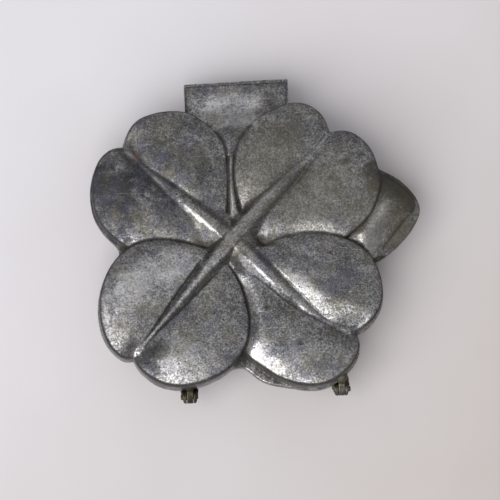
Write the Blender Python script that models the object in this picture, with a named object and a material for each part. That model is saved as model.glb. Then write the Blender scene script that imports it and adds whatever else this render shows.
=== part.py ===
"""Pewter ice mould in two hinged halves: a four-leaf clover with a short stem.

Metres, +Z up. +X runs along the hinge line and +Y points at the lift tab. The closed
mould lies on its back half, and the origin is at the centre of its box, on the floor.
Plan places are measured from the crossing of the leaf ribs, then the whole assembly is
centred. The flat rims of the two halves meet at PARTING_Z.
"""

import math
from dataclasses import dataclass

import bmesh
import bpy
from mathutils import Matrix, Vector

MM = 0.001

# Overall depths of the two castings, and the gap between their ground rims
BACK_DEPTH = 12.0 * MM
FRONT_DEPTH = 12.0 * MM
PARTING_Z = BACK_DEPTH
FACE_GAP = 0.3 * MM

# Rim and walls
RIM_HEIGHT = 3.0 * MM
RIM_STEP = 0.8 * MM
WALL = 2.3 * MM
WEB_RADIUS = 37.0 * MM

# Leaves
RIB_STAND = 1.2 * MM
LEAF_RISE = FRONT_DEPTH - RIB_STAND
LEAF_NEAR_REACH = 6.0 * MM
LEAF_NEAR_RADIUS = 4.6 * MM
HUB_RADIUS = 8.0 * MM
HUB_SINK = 1.8 * MM
NEAR_STEP_SHARE = 0.5
LEAST_RADIUS = 0.3 * MM
SHOULDER_INSETS = (0.0, 0.9 * MM, 3.2 * MM, 7.5 * MM)
SHOULDER_DROPS = (4.6 * MM, 2.2 * MM, 0.7 * MM, 0.0)

# Crease down the middle of each leaf
CREASE_WIDTH = 10.0 * MM
CREASE_DEPTH = 2.4 * MM
CREASE_START = 13.0 * MM
CREASE_OVERRUN = 4.0 * MM
CREASE_HEADROOM = 3.0 * MM
CREASE_START_HALF = 1.0 * MM
BACK_CREASE_DEPTH = 1.8 * MM

# Raised ribs, which cross at the middle of the front
RIB_WIDTH = 4.0 * MM
RIB_END_WIDTH = 1.4 * MM
RIB_BODY = 4.0 * MM
RIB_ROUNDING = 1.2 * MM
RIB_BEND_REACH = 12.0 * MM
RIB_BEND_SINK = 0.5 * MM
RIB_END_SINK = 3.1 * MM
RIB_STOP_SHORT = 6.5 * MM
RIB_WALL_STEP = 0.7 * MM
RIB_SHOULDER_SHARE = 0.9
RIB_TOP_SHARE = 0.4

# Lift tab, cast on both halves
TAB_LEFT = -12.2 * MM
TAB_RIGHT = 21.0 * MM
TAB_STAND = 9.1 * MM
TAB_ROOT = 26.0 * MM
TAB_THICKNESS = 3.0 * MM

# Stem stub: three corners of its outline, and its hollow hump
STEM_CORNERS = ((56.2 * MM, 9.6 * MM), (44.0 * MM, 18.7 * MM), (43.5 * MM, -3.9 * MM))
STEM_CORNER_RADIUS = 5.0 * MM
STEM_ROOT = (34.0 * MM, 4.0 * MM)
STEM_SINK = 2.2 * MM
STEM_SIDE_HEIGHT = 3.2 * MM
STEM_CROWN_INSET = 3.4 * MM
STEM_SHOULDER_SHARE = 0.6
STEM_TOP_SHARE = 0.3

# Hinge: a single ear on the front half turns in a forked ear on the back half
HINGE_X = {"left": -15.6 * MM, "right": 32.2 * MM}
HINGE_STAND = 1.3 * MM
KNUCKLE_RADIUS = 2.2 * MM
KNUCKLE_CLEARANCE = 0.7 * MM
FRONT_EAR_WIDTH = 2.2 * MM
BACK_EAR_WIDTH = 1.6 * MM
EAR_GAP = 0.3 * MM
EAR_SEAT_GAP = 0.3 * MM
EAR_ARM_HEIGHT = 4.6 * MM
EAR_ARM_REACH = 9.0 * MM
PIN_RADIUS = 0.8 * MM
PIN_CLEARANCE = 0.3 * MM
PIN_HEAD_RADIUS = 1.5 * MM
PIN_HEAD_LENGTH = 0.7 * MM
PIN_STICK_OUT = 0.6 * MM

# Roundness of the facets, and how far a cutter runs past what it cuts
LOBE_SEGMENTS = 28
CAVITY_SEGMENTS = 20
RIB_SEGMENTS = 12
STEM_SEGMENTS = 20
WEB_SEGMENTS = 48
EAR_SEGMENTS = 24
PIN_SEGMENTS = 20
OVERCUT = 1.0 * MM
HULL_FLATNESS = math.radians(0.05)
FACET_FLATNESS = math.radians(0.5)
SHARP_ANGLE = math.radians(25)


@dataclass(frozen=True)
class Lobe:
    """One rounded half of a heart-shaped leaf: the plan place of its arc and its radius."""

    x: float
    y: float
    radius: float


@dataclass(frozen=True)
class Leaf:
    """Two lobes, the length of the leaf's midrib out to the notch, and the notch's bearing."""

    name: str
    lobes: tuple
    notch_reach: float
    bearing: float


LEAVES = (
    Leaf("north_west", (Lobe(-17.5 * MM, 25.6 * MM, 17.4 * MM),
                        Lobe(-27.2 * MM, 17.2 * MM, 16.9 * MM)), 46.0 * MM, 135.0),
    Leaf("north_east", (Lobe(18.4 * MM, 27.4 * MM, 16.3 * MM),
                        Lobe(30.5 * MM, 17.0 * MM, 18.0 * MM)), 48.0 * MM, 45.5),
    Leaf("south_east", (Lobe(28.2 * MM, -16.2 * MM, 18.0 * MM),
                        Lobe(20.9 * MM, -28.2 * MM, 18.3 * MM)), 48.5 * MM, -38.0),
    Leaf("south_west", (Lobe(-15.0 * MM, -25.3 * MM, 19.6 * MM),
                        Lobe(-22.5 * MM, -18.2 * MM, 20.1 * MM)), 47.5 * MM, -132.5),
)


def rim_low_at(x):
    """Lowest y of the rim's outline at an x, over the lobes that reach it."""
    lows = [lobe.y - math.sqrt(lobe.radius ** 2 - (x - lobe.x) ** 2)
            for leaf in LEAVES for lobe in leaf.lobes if abs(x - lobe.x) < lobe.radius]
    return min(lows, default=0.0)


def hinge_line():
    """The y of the hinge axis: outside every rim, and clear of the rim beside each knuckle."""
    half = FRONT_EAR_WIDTH / 2 + EAR_GAP + BACK_EAR_WIDTH
    stands = [min(lobe.y - lobe.radius for leaf in LEAVES for lobe in leaf.lobes) - HINGE_STAND]
    for x in HINGE_X.values():
        nearest = min(rim_low_at(x + step * half) for step in (-1.0, 0.0, 1.0))
        stands.append(nearest - KNUCKLE_RADIUS - KNUCKLE_CLEARANCE)
    return min(stands)


HINGE_Y = hinge_line()
TAB_REACH = max(lobe.y + lobe.radius for leaf in LEAVES for lobe in leaf.lobes) + TAB_STAND


def clear_scene():
    """Remove what a new file starts with."""
    for obj in list(bpy.data.objects):
        bpy.data.objects.remove(obj, do_unlink=True)


def make_collection(name):
    """Return a new collection linked to the scene."""
    collection = bpy.data.collections.new(name)
    bpy.context.scene.collection.children.link(collection)
    return collection


def make_material(name, colour, roughness, metallic):
    """Return a Principled material with a plain colour."""
    material = bpy.data.materials.new(name)
    material.use_nodes = True
    shader = material.node_tree.nodes["Principled BSDF"]
    shader.inputs["Base Color"].default_value = (*colour, 1.0)
    shader.inputs["Roughness"].default_value = roughness
    shader.inputs["Metallic"].default_value = metallic
    return material


def make_empty(name, place, parent=None):
    """Return an empty at a place given in the parent's frame."""
    empty = bpy.data.objects.new(name, None)
    empty.location = place
    empty.empty_display_size = 10.0 * MM
    empty.parent = parent
    PARTS.objects.link(empty)
    return empty


def object_from_bmesh(name, bm):
    """Turn a bmesh into an object among the shaping solids."""
    bmesh.ops.recalc_face_normals(bm, faces=bm.faces)
    mesh = bpy.data.meshes.new(name)
    bm.to_mesh(mesh)
    bm.free()
    obj = bpy.data.objects.new(name, mesh)
    obj.hide_render = True
    obj.display_type = "WIRE"
    SHAPES.objects.link(obj)
    return obj


def hull(name, rings, segments):
    """Convex solid round level rings, each given as x, y, z and radius."""
    bm = bmesh.new()
    for x, y, z, radius in rings:
        bmesh.ops.create_circle(bm, segments=segments, radius=radius,
                                matrix=Matrix.Translation((x, y, z)))
    result = bmesh.ops.convex_hull(bm, input=bm.verts)
    spare = {item for key in ("geom_interior", "geom_unused") for item in result[key]}
    bmesh.ops.delete(bm, geom=[item for item in spare if isinstance(item, bmesh.types.BMVert)],
                     context="VERTS")
    loose = [edge for edge in bm.edges if not edge.link_faces]
    bmesh.ops.delete(bm, geom=loose, context="EDGES")
    bmesh.ops.dissolve_limit(bm, angle_limit=HULL_FLATNESS, verts=bm.verts, edges=bm.edges)
    return object_from_bmesh(name, bm)


def box(name, low, high):
    """Box between two corners."""
    size = Vector(high) - Vector(low)
    middle = (Vector(high) + Vector(low)) / 2
    bm = bmesh.new()
    bmesh.ops.create_cube(bm, size=1.0, matrix=Matrix.LocRotScale(middle, None, size))
    return object_from_bmesh(name, bm)


def rod_along_x(name, x_low, x_high, y, z, radius, segments):
    """Round rod with its axis along X."""
    bm = bmesh.new()
    place = Matrix.Translation(((x_low + x_high) / 2, y, z))
    bmesh.ops.create_cone(bm, cap_ends=True, segments=segments, radius1=radius, radius2=radius,
                          depth=x_high - x_low, matrix=place @ Matrix.Rotation(math.pi / 2, 4, "Y"))
    return object_from_bmesh(name, bm)


def combine(target, tools, operation):
    """Union or cut the target with each tool in turn, and remove the tools.

    Every solid here is closed, which the MANIFOLD solver needs, and it leaves no slivers where
    the faces of two solids lie in one plane.
    """
    for tool in tools:
        modifier = target.modifiers.new("shape", "BOOLEAN")
        modifier.operation = operation
        modifier.solver = "MANIFOLD"
        modifier.object = tool
        bpy.context.view_layer.update()
        evaluated = target.evaluated_get(bpy.context.evaluated_depsgraph_get())
        mesh = bpy.data.meshes.new_from_object(evaluated)
        target.modifiers.remove(modifier)
        old = target.data
        target.data = mesh
        bpy.data.meshes.remove(old)
        spent = tool.data
        bpy.data.objects.remove(tool, do_unlink=True)
        bpy.data.meshes.remove(spent)
    return target


def union(target, *tools):
    """Join solids into the target."""
    return combine(target, tools, "UNION")


def cut(target, *tools):
    """Take solids out of the target."""
    return combine(target, tools, "DIFFERENCE")


def tidy_mesh(obj):
    """Drop needless edges on flat faces, so that the solid has no more facets than its shape needs."""
    bm = bmesh.new()
    bm.from_mesh(obj.data)
    bmesh.ops.dissolve_limit(bm, angle_limit=FACET_FLATNESS, verts=bm.verts, edges=bm.edges)
    bmesh.ops.triangulate(bm, faces=bm.faces)
    bm.to_mesh(obj.data)
    bm.free()


def finish_part(obj, name, material, parent, origin):
    """Name a finished solid, dress it and hang it from its body's empty."""
    tidy_mesh(obj)
    obj.name = name
    obj.data.name = name
    obj.hide_render = False
    obj.display_type = "TEXTURED"
    obj.data.materials.clear()
    obj.data.materials.append(material)
    obj.data.shade_smooth()
    obj.data.set_sharp_from_angle(angle=SHARP_ANGLE)
    obj.data.transform(Matrix.Translation(-Vector(origin)))
    obj.parent = parent
    obj.location = Vector(origin) - parent.location
    SHAPES.objects.unlink(obj)
    PARTS.objects.link(obj)
    return obj


def bearing_point(reach, degrees):
    """Plan point at a reach and a bearing from the crossing."""
    angle = math.radians(degrees)
    return (reach * math.cos(angle), reach * math.sin(angle))


def lobe_solid(leaf, lobe, inset, rise, segments):
    """Pillow from the leaf's inner end to one lobe, shrunk by the inset and as high as rise."""
    near = bearing_point(LEAF_NEAR_REACH, leaf.bearing)
    rings = []
    levels = [(0.0, -OVERCUT)]
    levels += [(step, rise - drop) for step, drop in zip(SHOULDER_INSETS, SHOULDER_DROPS)]
    for step, height in levels:
        near_radius = max(LEAF_NEAR_RADIUS - inset - NEAR_STEP_SHARE * step, LEAST_RADIUS)
        rings.append((near[0], near[1], height, near_radius))
        rings.append((lobe.x, lobe.y, height, lobe.radius - inset - step))
    return hull(f"{leaf.name}_lobe", rings, segments)


def crease_solid(leaf, drop, depth, rise):
    """Wedge for the crease between a leaf's two lobes: nothing at its start, deepest at the notch."""
    start = Vector((*bearing_point(CREASE_START, leaf.bearing), 0.0))
    end = Vector((*bearing_point(leaf.notch_reach + CREASE_OVERRUN, leaf.bearing), 0.0))
    along = (end - start).normalized()
    across = Vector((-along.y, along.x, 0.0))
    surface = rise - drop
    top = Vector((0.0, 0.0, surface + CREASE_HEADROOM))
    side = across * (CREASE_WIDTH / 2) * (1.0 + CREASE_HEADROOM / depth)
    foot = Vector((0.0, 0.0, surface))
    deep = Vector((0.0, 0.0, surface - depth))
    bm = bmesh.new()
    open_half = across * CREASE_START_HALF
    for point in (start + foot, start + top + open_half, start + top - open_half,
                  end + deep, end + top + side, end + top - side):
        bm.verts.new(point)
    bmesh.ops.convex_hull(bm, input=bm.verts)
    return object_from_bmesh(f"{leaf.name}_crease", bm)


def rib_solid(leaf, inset, drop):
    """Rounded rib from just past the crossing out along the leaf, sinking and narrowing on its way."""
    half = RIB_WIDTH / 2 - inset
    top = FRONT_DEPTH - drop
    end = leaf.notch_reach - RIB_STOP_SHORT
    rings = []
    for reach, radius, height in ((-RIB_WIDTH / 2, half, top), (RIB_BEND_REACH, half, top - RIB_BEND_SINK),
                                  (end, RIB_END_WIDTH / 2, top - RIB_END_SINK)):
        x, y = bearing_point(reach, leaf.bearing)
        rings.append((x, y, height - RIB_BODY, radius))
        rings.append((x, y, height - RIB_ROUNDING, RIB_SHOULDER_SHARE * radius))
        rings.append((x, y, height, RIB_TOP_SHARE * radius))
    return hull(f"{leaf.name}_rib", rings, RIB_SEGMENTS)


def stem_solid(inset, rise, drop):
    """Hump of the stem stub, shrunk by the inset and lowered by the drop."""
    radius = STEM_CORNER_RADIUS - inset
    crown = rise - STEM_SINK - drop
    root = Vector(STEM_ROOT)
    rings = [(*STEM_ROOT, -OVERCUT, radius), (*STEM_ROOT, crown - STEM_SINK, radius)]
    for corner in STEM_CORNERS:
        rings += [(*corner, height, radius) for height in (-OVERCUT, STEM_SIDE_HEIGHT - drop)]
        inner = Vector(corner) + (root - Vector(corner)).normalized() * STEM_CROWN_INSET
        rings.append((*inner, crown - STEM_SINK / 2, STEM_SHOULDER_SHARE * radius))
        rings.append((*inner, crown, STEM_TOP_SHARE * radius))
    return hull("stem", rings, STEM_SEGMENTS)


def relief(inset, drop, rise, crease_depth, ribs, segments):
    """The clover's raised body above the parting plane, shrunk by the inset and lowered by the drop."""
    top = rise - drop
    hub = [(0.0, 0.0, height, HUB_RADIUS - inset) for height in (-OVERCUT, top - HUB_SINK)]
    body = hull("hub", hub, segments)
    union(body, *(lobe_solid(leaf, lobe, inset, top, segments) for leaf in LEAVES for lobe in leaf.lobes))
    cut(body, *(crease_solid(leaf, drop, crease_depth, rise) for leaf in LEAVES))
    union(body, stem_solid(inset, rise, drop))
    if ribs:
        union(body, *(rib_solid(leaf, RIB_WALL_STEP if drop else 0.0, drop) for leaf in LEAVES))
    return body


def rim_outline_solids(grow, low, high):
    """Upright solids that fill the rim's outline: the lobes, the web between them and the stem's foot."""
    solids = []
    for leaf in LEAVES:
        near = bearing_point(LEAF_NEAR_REACH, leaf.bearing)
        for lobe in leaf.lobes:
            rings = [(*near, z, LEAF_NEAR_RADIUS) for z in (low, high)]
            rings += [(lobe.x, lobe.y, z, lobe.radius + grow) for z in (low, high)]
            solids.append(hull("rim_lobe", rings, LOBE_SEGMENTS))
    solids.append(hull("web", [(0.0, 0.0, z, WEB_RADIUS) for z in (low, high)], WEB_SEGMENTS))
    corners = (*STEM_CORNERS, STEM_ROOT)
    rings = [(x, y, z, STEM_CORNER_RADIUS + grow) for x, y in corners for z in (low, high)]
    solids.append(hull("stem_foot", rings, STEM_SEGMENTS))
    return solids


def half_shell(rise, crease_depth, ribs):
    """One casting above a parting plane at zero: relief, rim and tab, with the hollow cut out."""
    body = relief(RIM_STEP, 0.0, rise, crease_depth, ribs, LOBE_SEGMENTS)
    union(body, *rim_outline_solids(0.0, -OVERCUT, RIM_HEIGHT))
    union(body, box("tab", (TAB_LEFT, TAB_ROOT, -OVERCUT), (TAB_RIGHT, TAB_REACH, TAB_THICKNESS)))
    hollow = relief(RIM_STEP + WALL, WALL, rise, crease_depth, ribs, CAVITY_SEGMENTS)
    cut(body, hollow)
    far = 2 * TAB_REACH
    cut(body, box("below", (-far, -far, -far), (far, far, FACE_GAP / 2)))
    return body


def make_front_shell(parent):
    """The upper half in use: leaves with creases and ribs."""
    body = half_shell(LEAF_RISE, CREASE_DEPTH, True)
    body.data.transform(Matrix.Translation((0.0, 0.0, PARTING_Z)))
    return finish_part(body, "front_shell", PEWTER, parent, hinge_point())


def make_back_shell(parent):
    """The lower half: the same outline upside down, flat on its eight lobes and without ribs."""
    body = half_shell(BACK_DEPTH, BACK_CREASE_DEPTH, False)
    body.data.transform(Matrix.Scale(-1.0, 4, (0.0, 0.0, 1.0)))
    body.data.flip_normals()
    body.data.transform(Matrix.Translation((0.0, 0.0, PARTING_Z)))
    return finish_part(body, "back_shell", PEWTER, parent, (0.0, 0.0, 0.0))


def hinge_point():
    """A point on the hinge axis."""
    return (0.0, HINGE_Y, PARTING_Z)


def ear_solid(x_low, x_high, up):
    """One ear: a round knuckle and an arm back to the half's rim, above or below the axis."""
    ear = rod_along_x("ear", x_low, x_high, HINGE_Y, PARTING_Z, KNUCKLE_RADIUS, EAR_SEGMENTS)
    low, high = sorted((PARTING_Z + up * FACE_GAP, PARTING_Z + up * EAR_ARM_HEIGHT))
    outer = HINGE_Y if up > 0.0 else HINGE_Y + EAR_GAP
    arm = box("arm", (x_low, outer, low), (x_high, HINGE_Y + EAR_ARM_REACH, high))
    return union(ear, arm)


def seat_cutters():
    """The rim's outline grown by the seat gap, tall enough to trim an ear's arm."""
    return rim_outline_solids(EAR_SEAT_GAP, -OVERCUT, 2 * PARTING_Z)


def make_front_lug(side, parent):
    """Single middle ear of the front half, soldered to its rim."""
    x = HINGE_X[side]
    half = FRONT_EAR_WIDTH / 2
    lug = ear_solid(x - half, x + half, 1.0)
    cut(lug, *seat_cutters())
    reach = half + OVERCUT
    bore = rod_along_x("bore", x - reach, x + reach, HINGE_Y, PARTING_Z,
                       PIN_RADIUS + PIN_CLEARANCE, EAR_SEGMENTS)
    cut(lug, bore)
    return finish_part(lug, f"front_hinge_lug_{side}", SOLDER, parent, hinge_point())


def make_back_lug(side, parent):
    """Forked ear of the back half: two cheeks and the bridge between them, one casting."""
    x = HINGE_X[side]
    inner = FRONT_EAR_WIDTH / 2 + EAR_GAP
    outer = inner + BACK_EAR_WIDTH
    lug = ear_solid(x - outer, x - inner, -1.0)
    union(lug, ear_solid(x + inner, x + outer, -1.0))
    swing = KNUCKLE_RADIUS + EAR_GAP
    bridge = box("bridge", (x - outer, HINGE_Y + EAR_GAP, PARTING_Z - EAR_ARM_HEIGHT),
                 (x + outer, HINGE_Y + EAR_ARM_REACH, PARTING_Z - swing))
    union(lug, bridge)
    cut(lug, *seat_cutters())
    reach = outer + OVERCUT
    bore = rod_along_x("bore", x - reach, x + reach, HINGE_Y, PARTING_Z,
                       PIN_RADIUS + PIN_CLEARANCE, EAR_SEGMENTS)
    cut(lug, bore)
    return finish_part(lug, f"back_hinge_lug_{side}", SOLDER, parent, (0.0, 0.0, 0.0))


def make_pin(side, parent):
    """Loose pin with a flattened head at the outer end of its knuckles."""
    outward = -1.0 if side == "left" else 1.0
    reach = FRONT_EAR_WIDTH / 2 + EAR_GAP + BACK_EAR_WIDTH
    x = HINGE_X[side]
    head_low = x + outward * (reach + EAR_GAP)
    head_high = head_low + outward * PIN_HEAD_LENGTH
    tail = x - outward * (reach + PIN_STICK_OUT)
    pin = rod_along_x("shaft", min(tail, head_high), max(tail, head_high), HINGE_Y, PARTING_Z,
                      PIN_RADIUS, PIN_SEGMENTS)
    head = rod_along_x("head", min(head_low, head_high), max(head_low, head_high), HINGE_Y, PARTING_Z,
                       PIN_HEAD_RADIUS, PIN_SEGMENTS)
    union(pin, head)
    return finish_part(pin, f"hinge_pin_{side}", IRON, parent, (x, HINGE_Y, PARTING_Z))


def centre_assembly(root, parts):
    """Move the root so that the closed mould's box stands centred on the origin."""
    bpy.context.view_layer.update()
    corners = [part.matrix_world @ vert.co for part in parts for vert in part.data.vertices]
    low = Vector([min(corner[axis] for corner in corners) for axis in range(3)])
    high = Vector([max(corner[axis] for corner in corners) for axis in range(3)])
    root.location = (-(low.x + high.x) / 2, -(low.y + high.y) / 2, -low.z)
    bpy.context.view_layer.update()
    print(f"crossing of the ribs at {root.location.x / MM:.3f}, {root.location.y / MM:.3f} mm")
    print(f"box {(high.x - low.x) / MM:.2f} x {(high.y - low.y) / MM:.2f} x {(high.z - low.z) / MM:.2f} mm")


def main():
    """Build the mould."""
    root = make_empty("mould", (0.0, 0.0, 0.0))
    front = make_empty("front_half", hinge_point(), root)
    back = make_empty("back_half", (0.0, 0.0, 0.0), root)
    parts = [make_back_shell(back), make_front_shell(front)]
    for side in HINGE_X:
        pin_empty = make_empty(f"pin_{side}", (HINGE_X[side], HINGE_Y, PARTING_Z), root)
        parts += [make_back_lug(side, back), make_front_lug(side, front), make_pin(side, pin_empty)]
    centre_assembly(root, parts)
    for part in parts:
        print(f"{part.name}: {len(part.data.polygons)} triangles")


clear_scene()
PARTS = make_collection("clover_mould")
SHAPES = make_collection("shaping_solids")
PEWTER = make_material("tarnished_pewter", (0.16, 0.16, 0.155), 0.42, 1.0)
SOLDER = make_material("soldered_pewter_lug", (0.10, 0.095, 0.08), 0.5, 1.0)
IRON = make_material("iron_wire", (0.07, 0.06, 0.05), 0.5, 1.0)
main()
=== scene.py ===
"""Looks of a hinged pewter ice mould in the shape of a four-leaf clover with a short stem.

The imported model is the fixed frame. Both castings, the hinge lugs and the pins are meshed here from
distance fields in millimetres, so that the leaves, ribs, creases and worn edges are real shapes.
"""

import logging
import math
from abc import ABC, abstractmethod
from collections.abc import Callable, Iterable
from dataclasses import dataclass
from enum import Enum
from functools import cache, cached_property

import bpy
import numpy as np
from mathutils import Matrix, Vector

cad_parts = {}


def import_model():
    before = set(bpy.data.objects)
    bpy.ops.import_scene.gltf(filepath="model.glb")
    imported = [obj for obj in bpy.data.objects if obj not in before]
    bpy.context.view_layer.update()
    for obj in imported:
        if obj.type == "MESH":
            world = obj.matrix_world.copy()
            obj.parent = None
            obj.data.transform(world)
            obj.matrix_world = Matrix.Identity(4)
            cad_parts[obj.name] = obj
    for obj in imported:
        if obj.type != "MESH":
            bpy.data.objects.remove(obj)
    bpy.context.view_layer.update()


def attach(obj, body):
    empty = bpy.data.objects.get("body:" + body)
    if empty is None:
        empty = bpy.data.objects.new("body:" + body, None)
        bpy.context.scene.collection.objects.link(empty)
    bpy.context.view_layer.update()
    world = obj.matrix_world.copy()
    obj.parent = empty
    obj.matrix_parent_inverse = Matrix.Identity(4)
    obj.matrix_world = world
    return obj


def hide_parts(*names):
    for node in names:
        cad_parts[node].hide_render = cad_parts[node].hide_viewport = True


MM = 0.001
# The most triangles that a piece keeps.
MOST_TRIANGLES = 190000
# World x, y and z in mm of the point where the ribs cross, on the parting plane.
CROSSING = (-8.55, -1.40, 12.0)
# World y and z in mm of the hinge line.
HINGE_LINE = (-49.2, 12.0)
LOG = logging.getLogger("clover_mould")

Array = np.ndarray
Field = Callable[[Array, Array, Array], Array]
Point = tuple[float, float]
Triple = tuple[float, float, float]
Line = tuple[Point, ...]
Socket = bpy.types.NodeSocket
Inputs = dict[str | int, object] | tuple[object, ...]
Colour = tuple[float, float, float, float]


# Distance fields


def rounded_max(a: Array, b: Array, radius: float) -> Array:
    """Intersection of two fields in mm, negative inside, with an outer edge of that radius."""
    corner = np.hypot(np.maximum(a + radius, 0.0), np.maximum(b + radius, 0.0)) - radius
    return corner + np.minimum(np.maximum(a, b) + radius, 0.0)


def rounded_min(a: Array, b: Array, radius: float) -> Array:
    """Union of two fields with a fillet of that radius where they meet."""
    return -rounded_max(-a, -b, radius)


def turned(field: Field, x_sign: float, z_sign: float) -> Field:
    """The same field, mirrored in x or z where that sign is -1."""
    return lambda x, y, z: field(x * x_sign, y, z * z_sign)


def smoothstep(value: Array, low: float, high: float) -> Array:
    """Zero below low, one above high, and a smooth rise between them."""
    t = np.clip((value - low) / (high - low), 0.0, 1.0)
    return t * t * (3.0 - 2.0 * t)


# The plan raster


def smooth_line(points: Line, spacing: float, rounds: int) -> Array:
    """A smooth line through marked points, with its two ends kept in place.

    Args:
        points: The marked points, in mm.
        spacing: Rough distance between the points that are made.
        rounds: How many times each made point is moved halfway to the mean of its neighbours.

    Returns:
        One row of x and y for each point of the line.
    """
    marked = np.array(points, float)
    marked = np.vstack([2 * marked[0] - marked[1], marked, 2 * marked[-1] - marked[-2]])
    pieces = []
    for a, b, c, d in zip(marked, marked[1:], marked[2:], marked[3:]):
        count = max(2, round(float(np.linalg.norm(c - b)) / spacing))
        t = np.linspace(0.0, 1.0, count, endpoint=False)[:, None]
        bend = (2 * a - 5 * b + 4 * c - d) * t**2 + (3 * b - a - 3 * c + d) * t**3
        pieces.append(0.5 * (2 * b + (c - a) * t + bend))
    line = np.vstack([*pieces, marked[-2:-1]])
    for _ in range(rounds * 3):
        line[1:-1] = 0.5 * line[1:-1] + 0.25 * (line[:-2] + line[2:])
    return line


def line_distance(x: Array, y: Array, line: Array) -> tuple[Array, Array]:
    """Distance to a line of straight pieces, and how far along it the nearest point is.

    Args:
        x: First coordinate of the points, in mm.
        y: Second coordinate of the points.
        line: One row of x and y for each corner of the line.

    Returns:
        The distance, and the place along the line, both in mm.
    """
    nearest = np.full(np.broadcast(x, y).shape, np.inf)
    along = np.zeros_like(nearest)
    passed = 0.0
    for start, end in zip(line, line[1:]):
        length = max(float(np.linalg.norm(end - start)), 1e-6)
        ux, uy = (end - start) / length
        place = np.clip((x - start[0]) * ux + (y - start[1]) * uy, 0.0, length)
        distance = np.hypot(x - start[0] - place * ux, y - start[1] - place * uy)
        closer = distance < nearest
        nearest = np.where(closer, distance, nearest)
        along = np.where(closer, passed + place, along)
        passed += length
    return nearest, along


def outline_distance(x: Array, y: Array, outline: Array) -> Array:
    """Distance to a closed outline.

    Args:
        x: Plan x of the points, in mm.
        y: Plan y of the points.
        outline: One row of x and y for each point, with the first one again at the end.

    Returns:
        The distance in mm, negative inside.
    """
    nearest, _ = line_distance(x, y, outline)
    inside = np.zeros(nearest.shape, bool)
    for (ax, ay), (bx, by) in zip(outline, outline[1:]):
        if ay != by:
            inside ^= ((ay > y) != (by > y)) & (x < ax + (y - ay) * (bx - ax) / (by - ay))
    return np.where(inside, -nearest, nearest)


def between(values: Array, i: Array, j: Array, s: Array, t: Array) -> Array:
    """Values of a raster between its points.

    Args:
        values: The raster.
        i: Row of the point before.
        j: Column of the point before.
        s: Share of the way to the next row.
        t: Share of the way to the next column.

    Returns:
        The mixed values.
    """
    near = values[i, j] * (1 - s) + values[i + 1, j] * s
    far = values[i, j + 1] * (1 - s) + values[i + 1, j + 1] * s
    return near * (1 - t) + far * t


@dataclass(frozen=True)
class Swells:
    """Smooth random swells and hollows of a hand-finished casting.

    Attributes:
        height: The most that a swell stands out.
        width: Rough width of one swell, in mm.
        seed: Number that the pattern starts from.
    """

    height: float
    width: float
    seed: int

    def at(self, x: Array, y: Array) -> Array:
        """Height of the pattern.

        Args:
            x: Plan x of the points, in mm.
            y: Plan y of the points.

        Returns:
            Values between minus the height and the height.
        """
        count = 96
        lattice = np.random.default_rng(self.seed).uniform(-1.0, 1.0, (count, count))
        u, v = x / self.width + count // 2 - 1.0, y / self.width + count // 2 - 1.0
        i, j = np.floor(u).astype(int) % (count - 1), np.floor(v).astype(int) % (count - 1)
        s, t = smoothstep(u % 1.0, 0.0, 1.0), smoothstep(v % 1.0, 0.0, 1.0)
        return self.height * between(lattice, i, j, s, t)


@dataclass(frozen=True)
class PlanGrid:
    """The square raster of plan points that the layers are worked out on, in mm.

    Attributes:
        low: Its corner with the least x and y.
        high: The opposite corner.
        step: Distance between its points.
    """

    low: Point = (-50.0, -54.0)
    high: Point = (68.0, 60.0)
    step: float = 0.4

    def points(self) -> tuple[Array, Array]:
        """Plan x of the raster as a column and plan y as a row."""
        x, y = (np.arange(low, high, self.step) for low, high in zip(self.low, self.high))
        return x[:, None], y[None, :]

    def read(self, stack: Array, x: Array, y: Array) -> Array:
        """Layer values between the raster's points.

        Args:
            stack: The layers over the raster, one behind the other.
            x: Plan x of the points, in mm.
            y: Plan y of the points.

        Returns:
            The values, with the layers as the last axis.
        """
        u = np.clip((x - self.low[0]) / self.step, 0.0, stack.shape[0] - 1.001)
        v = np.clip((y - self.low[1]) / self.step, 0.0, stack.shape[1] - 1.001)
        i, j = u.astype(int), v.astype(int)
        return between(stack, i, j, (u - i)[..., None], (v - j)[..., None])


PLAN = PlanGrid()


# Meshing


@dataclass(frozen=True)
class Grid:
    """A box of sample points in mm.

    Attributes:
        low: Its corner with the least x, y and z.
        high: The opposite corner.
        step: Distance between its points along each axis.
    """

    low: Triple
    high: Triple
    step: Triple

    @classmethod
    def facing(cls, up: float, low: Triple, high: Triple, step: Triple) -> "Grid":
        """The box with its z turned round where up is -1."""
        ends = sorted((low[2] * up, high[2] * up))
        return cls((*low[:2], ends[0]), (*high[:2], ends[1]), step)

    def axes(self) -> list[Array]:
        """The sample positions along x, y and z."""
        return [np.arange(a, b + s, s) for a, b, s in zip(self.low, self.high, self.step)]


# Squared slope below which a field reads as level, and the move in mm after which a point rests.
LEAST_SLOPE, SETTLED = 0.05, 0.01


def gradient(field: Field, points: Array, reach: float) -> Array:
    """Slope of a field at each point by central differences.

    Args:
        field: The field to measure.
        points: One row of x, y, z for each point.
        reach: Half the distance between the two samples, in mm.

    Returns:
        One row of slopes for each point.
    """
    slopes = []
    for axis in range(3):
        shift = np.zeros(3)
        shift[axis] = reach
        ahead, behind = (points + shift).T, (points - shift).T
        slopes.append((field(*ahead) - field(*behind)) / (2.0 * reach))
    return np.stack(slopes, axis=1)


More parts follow.
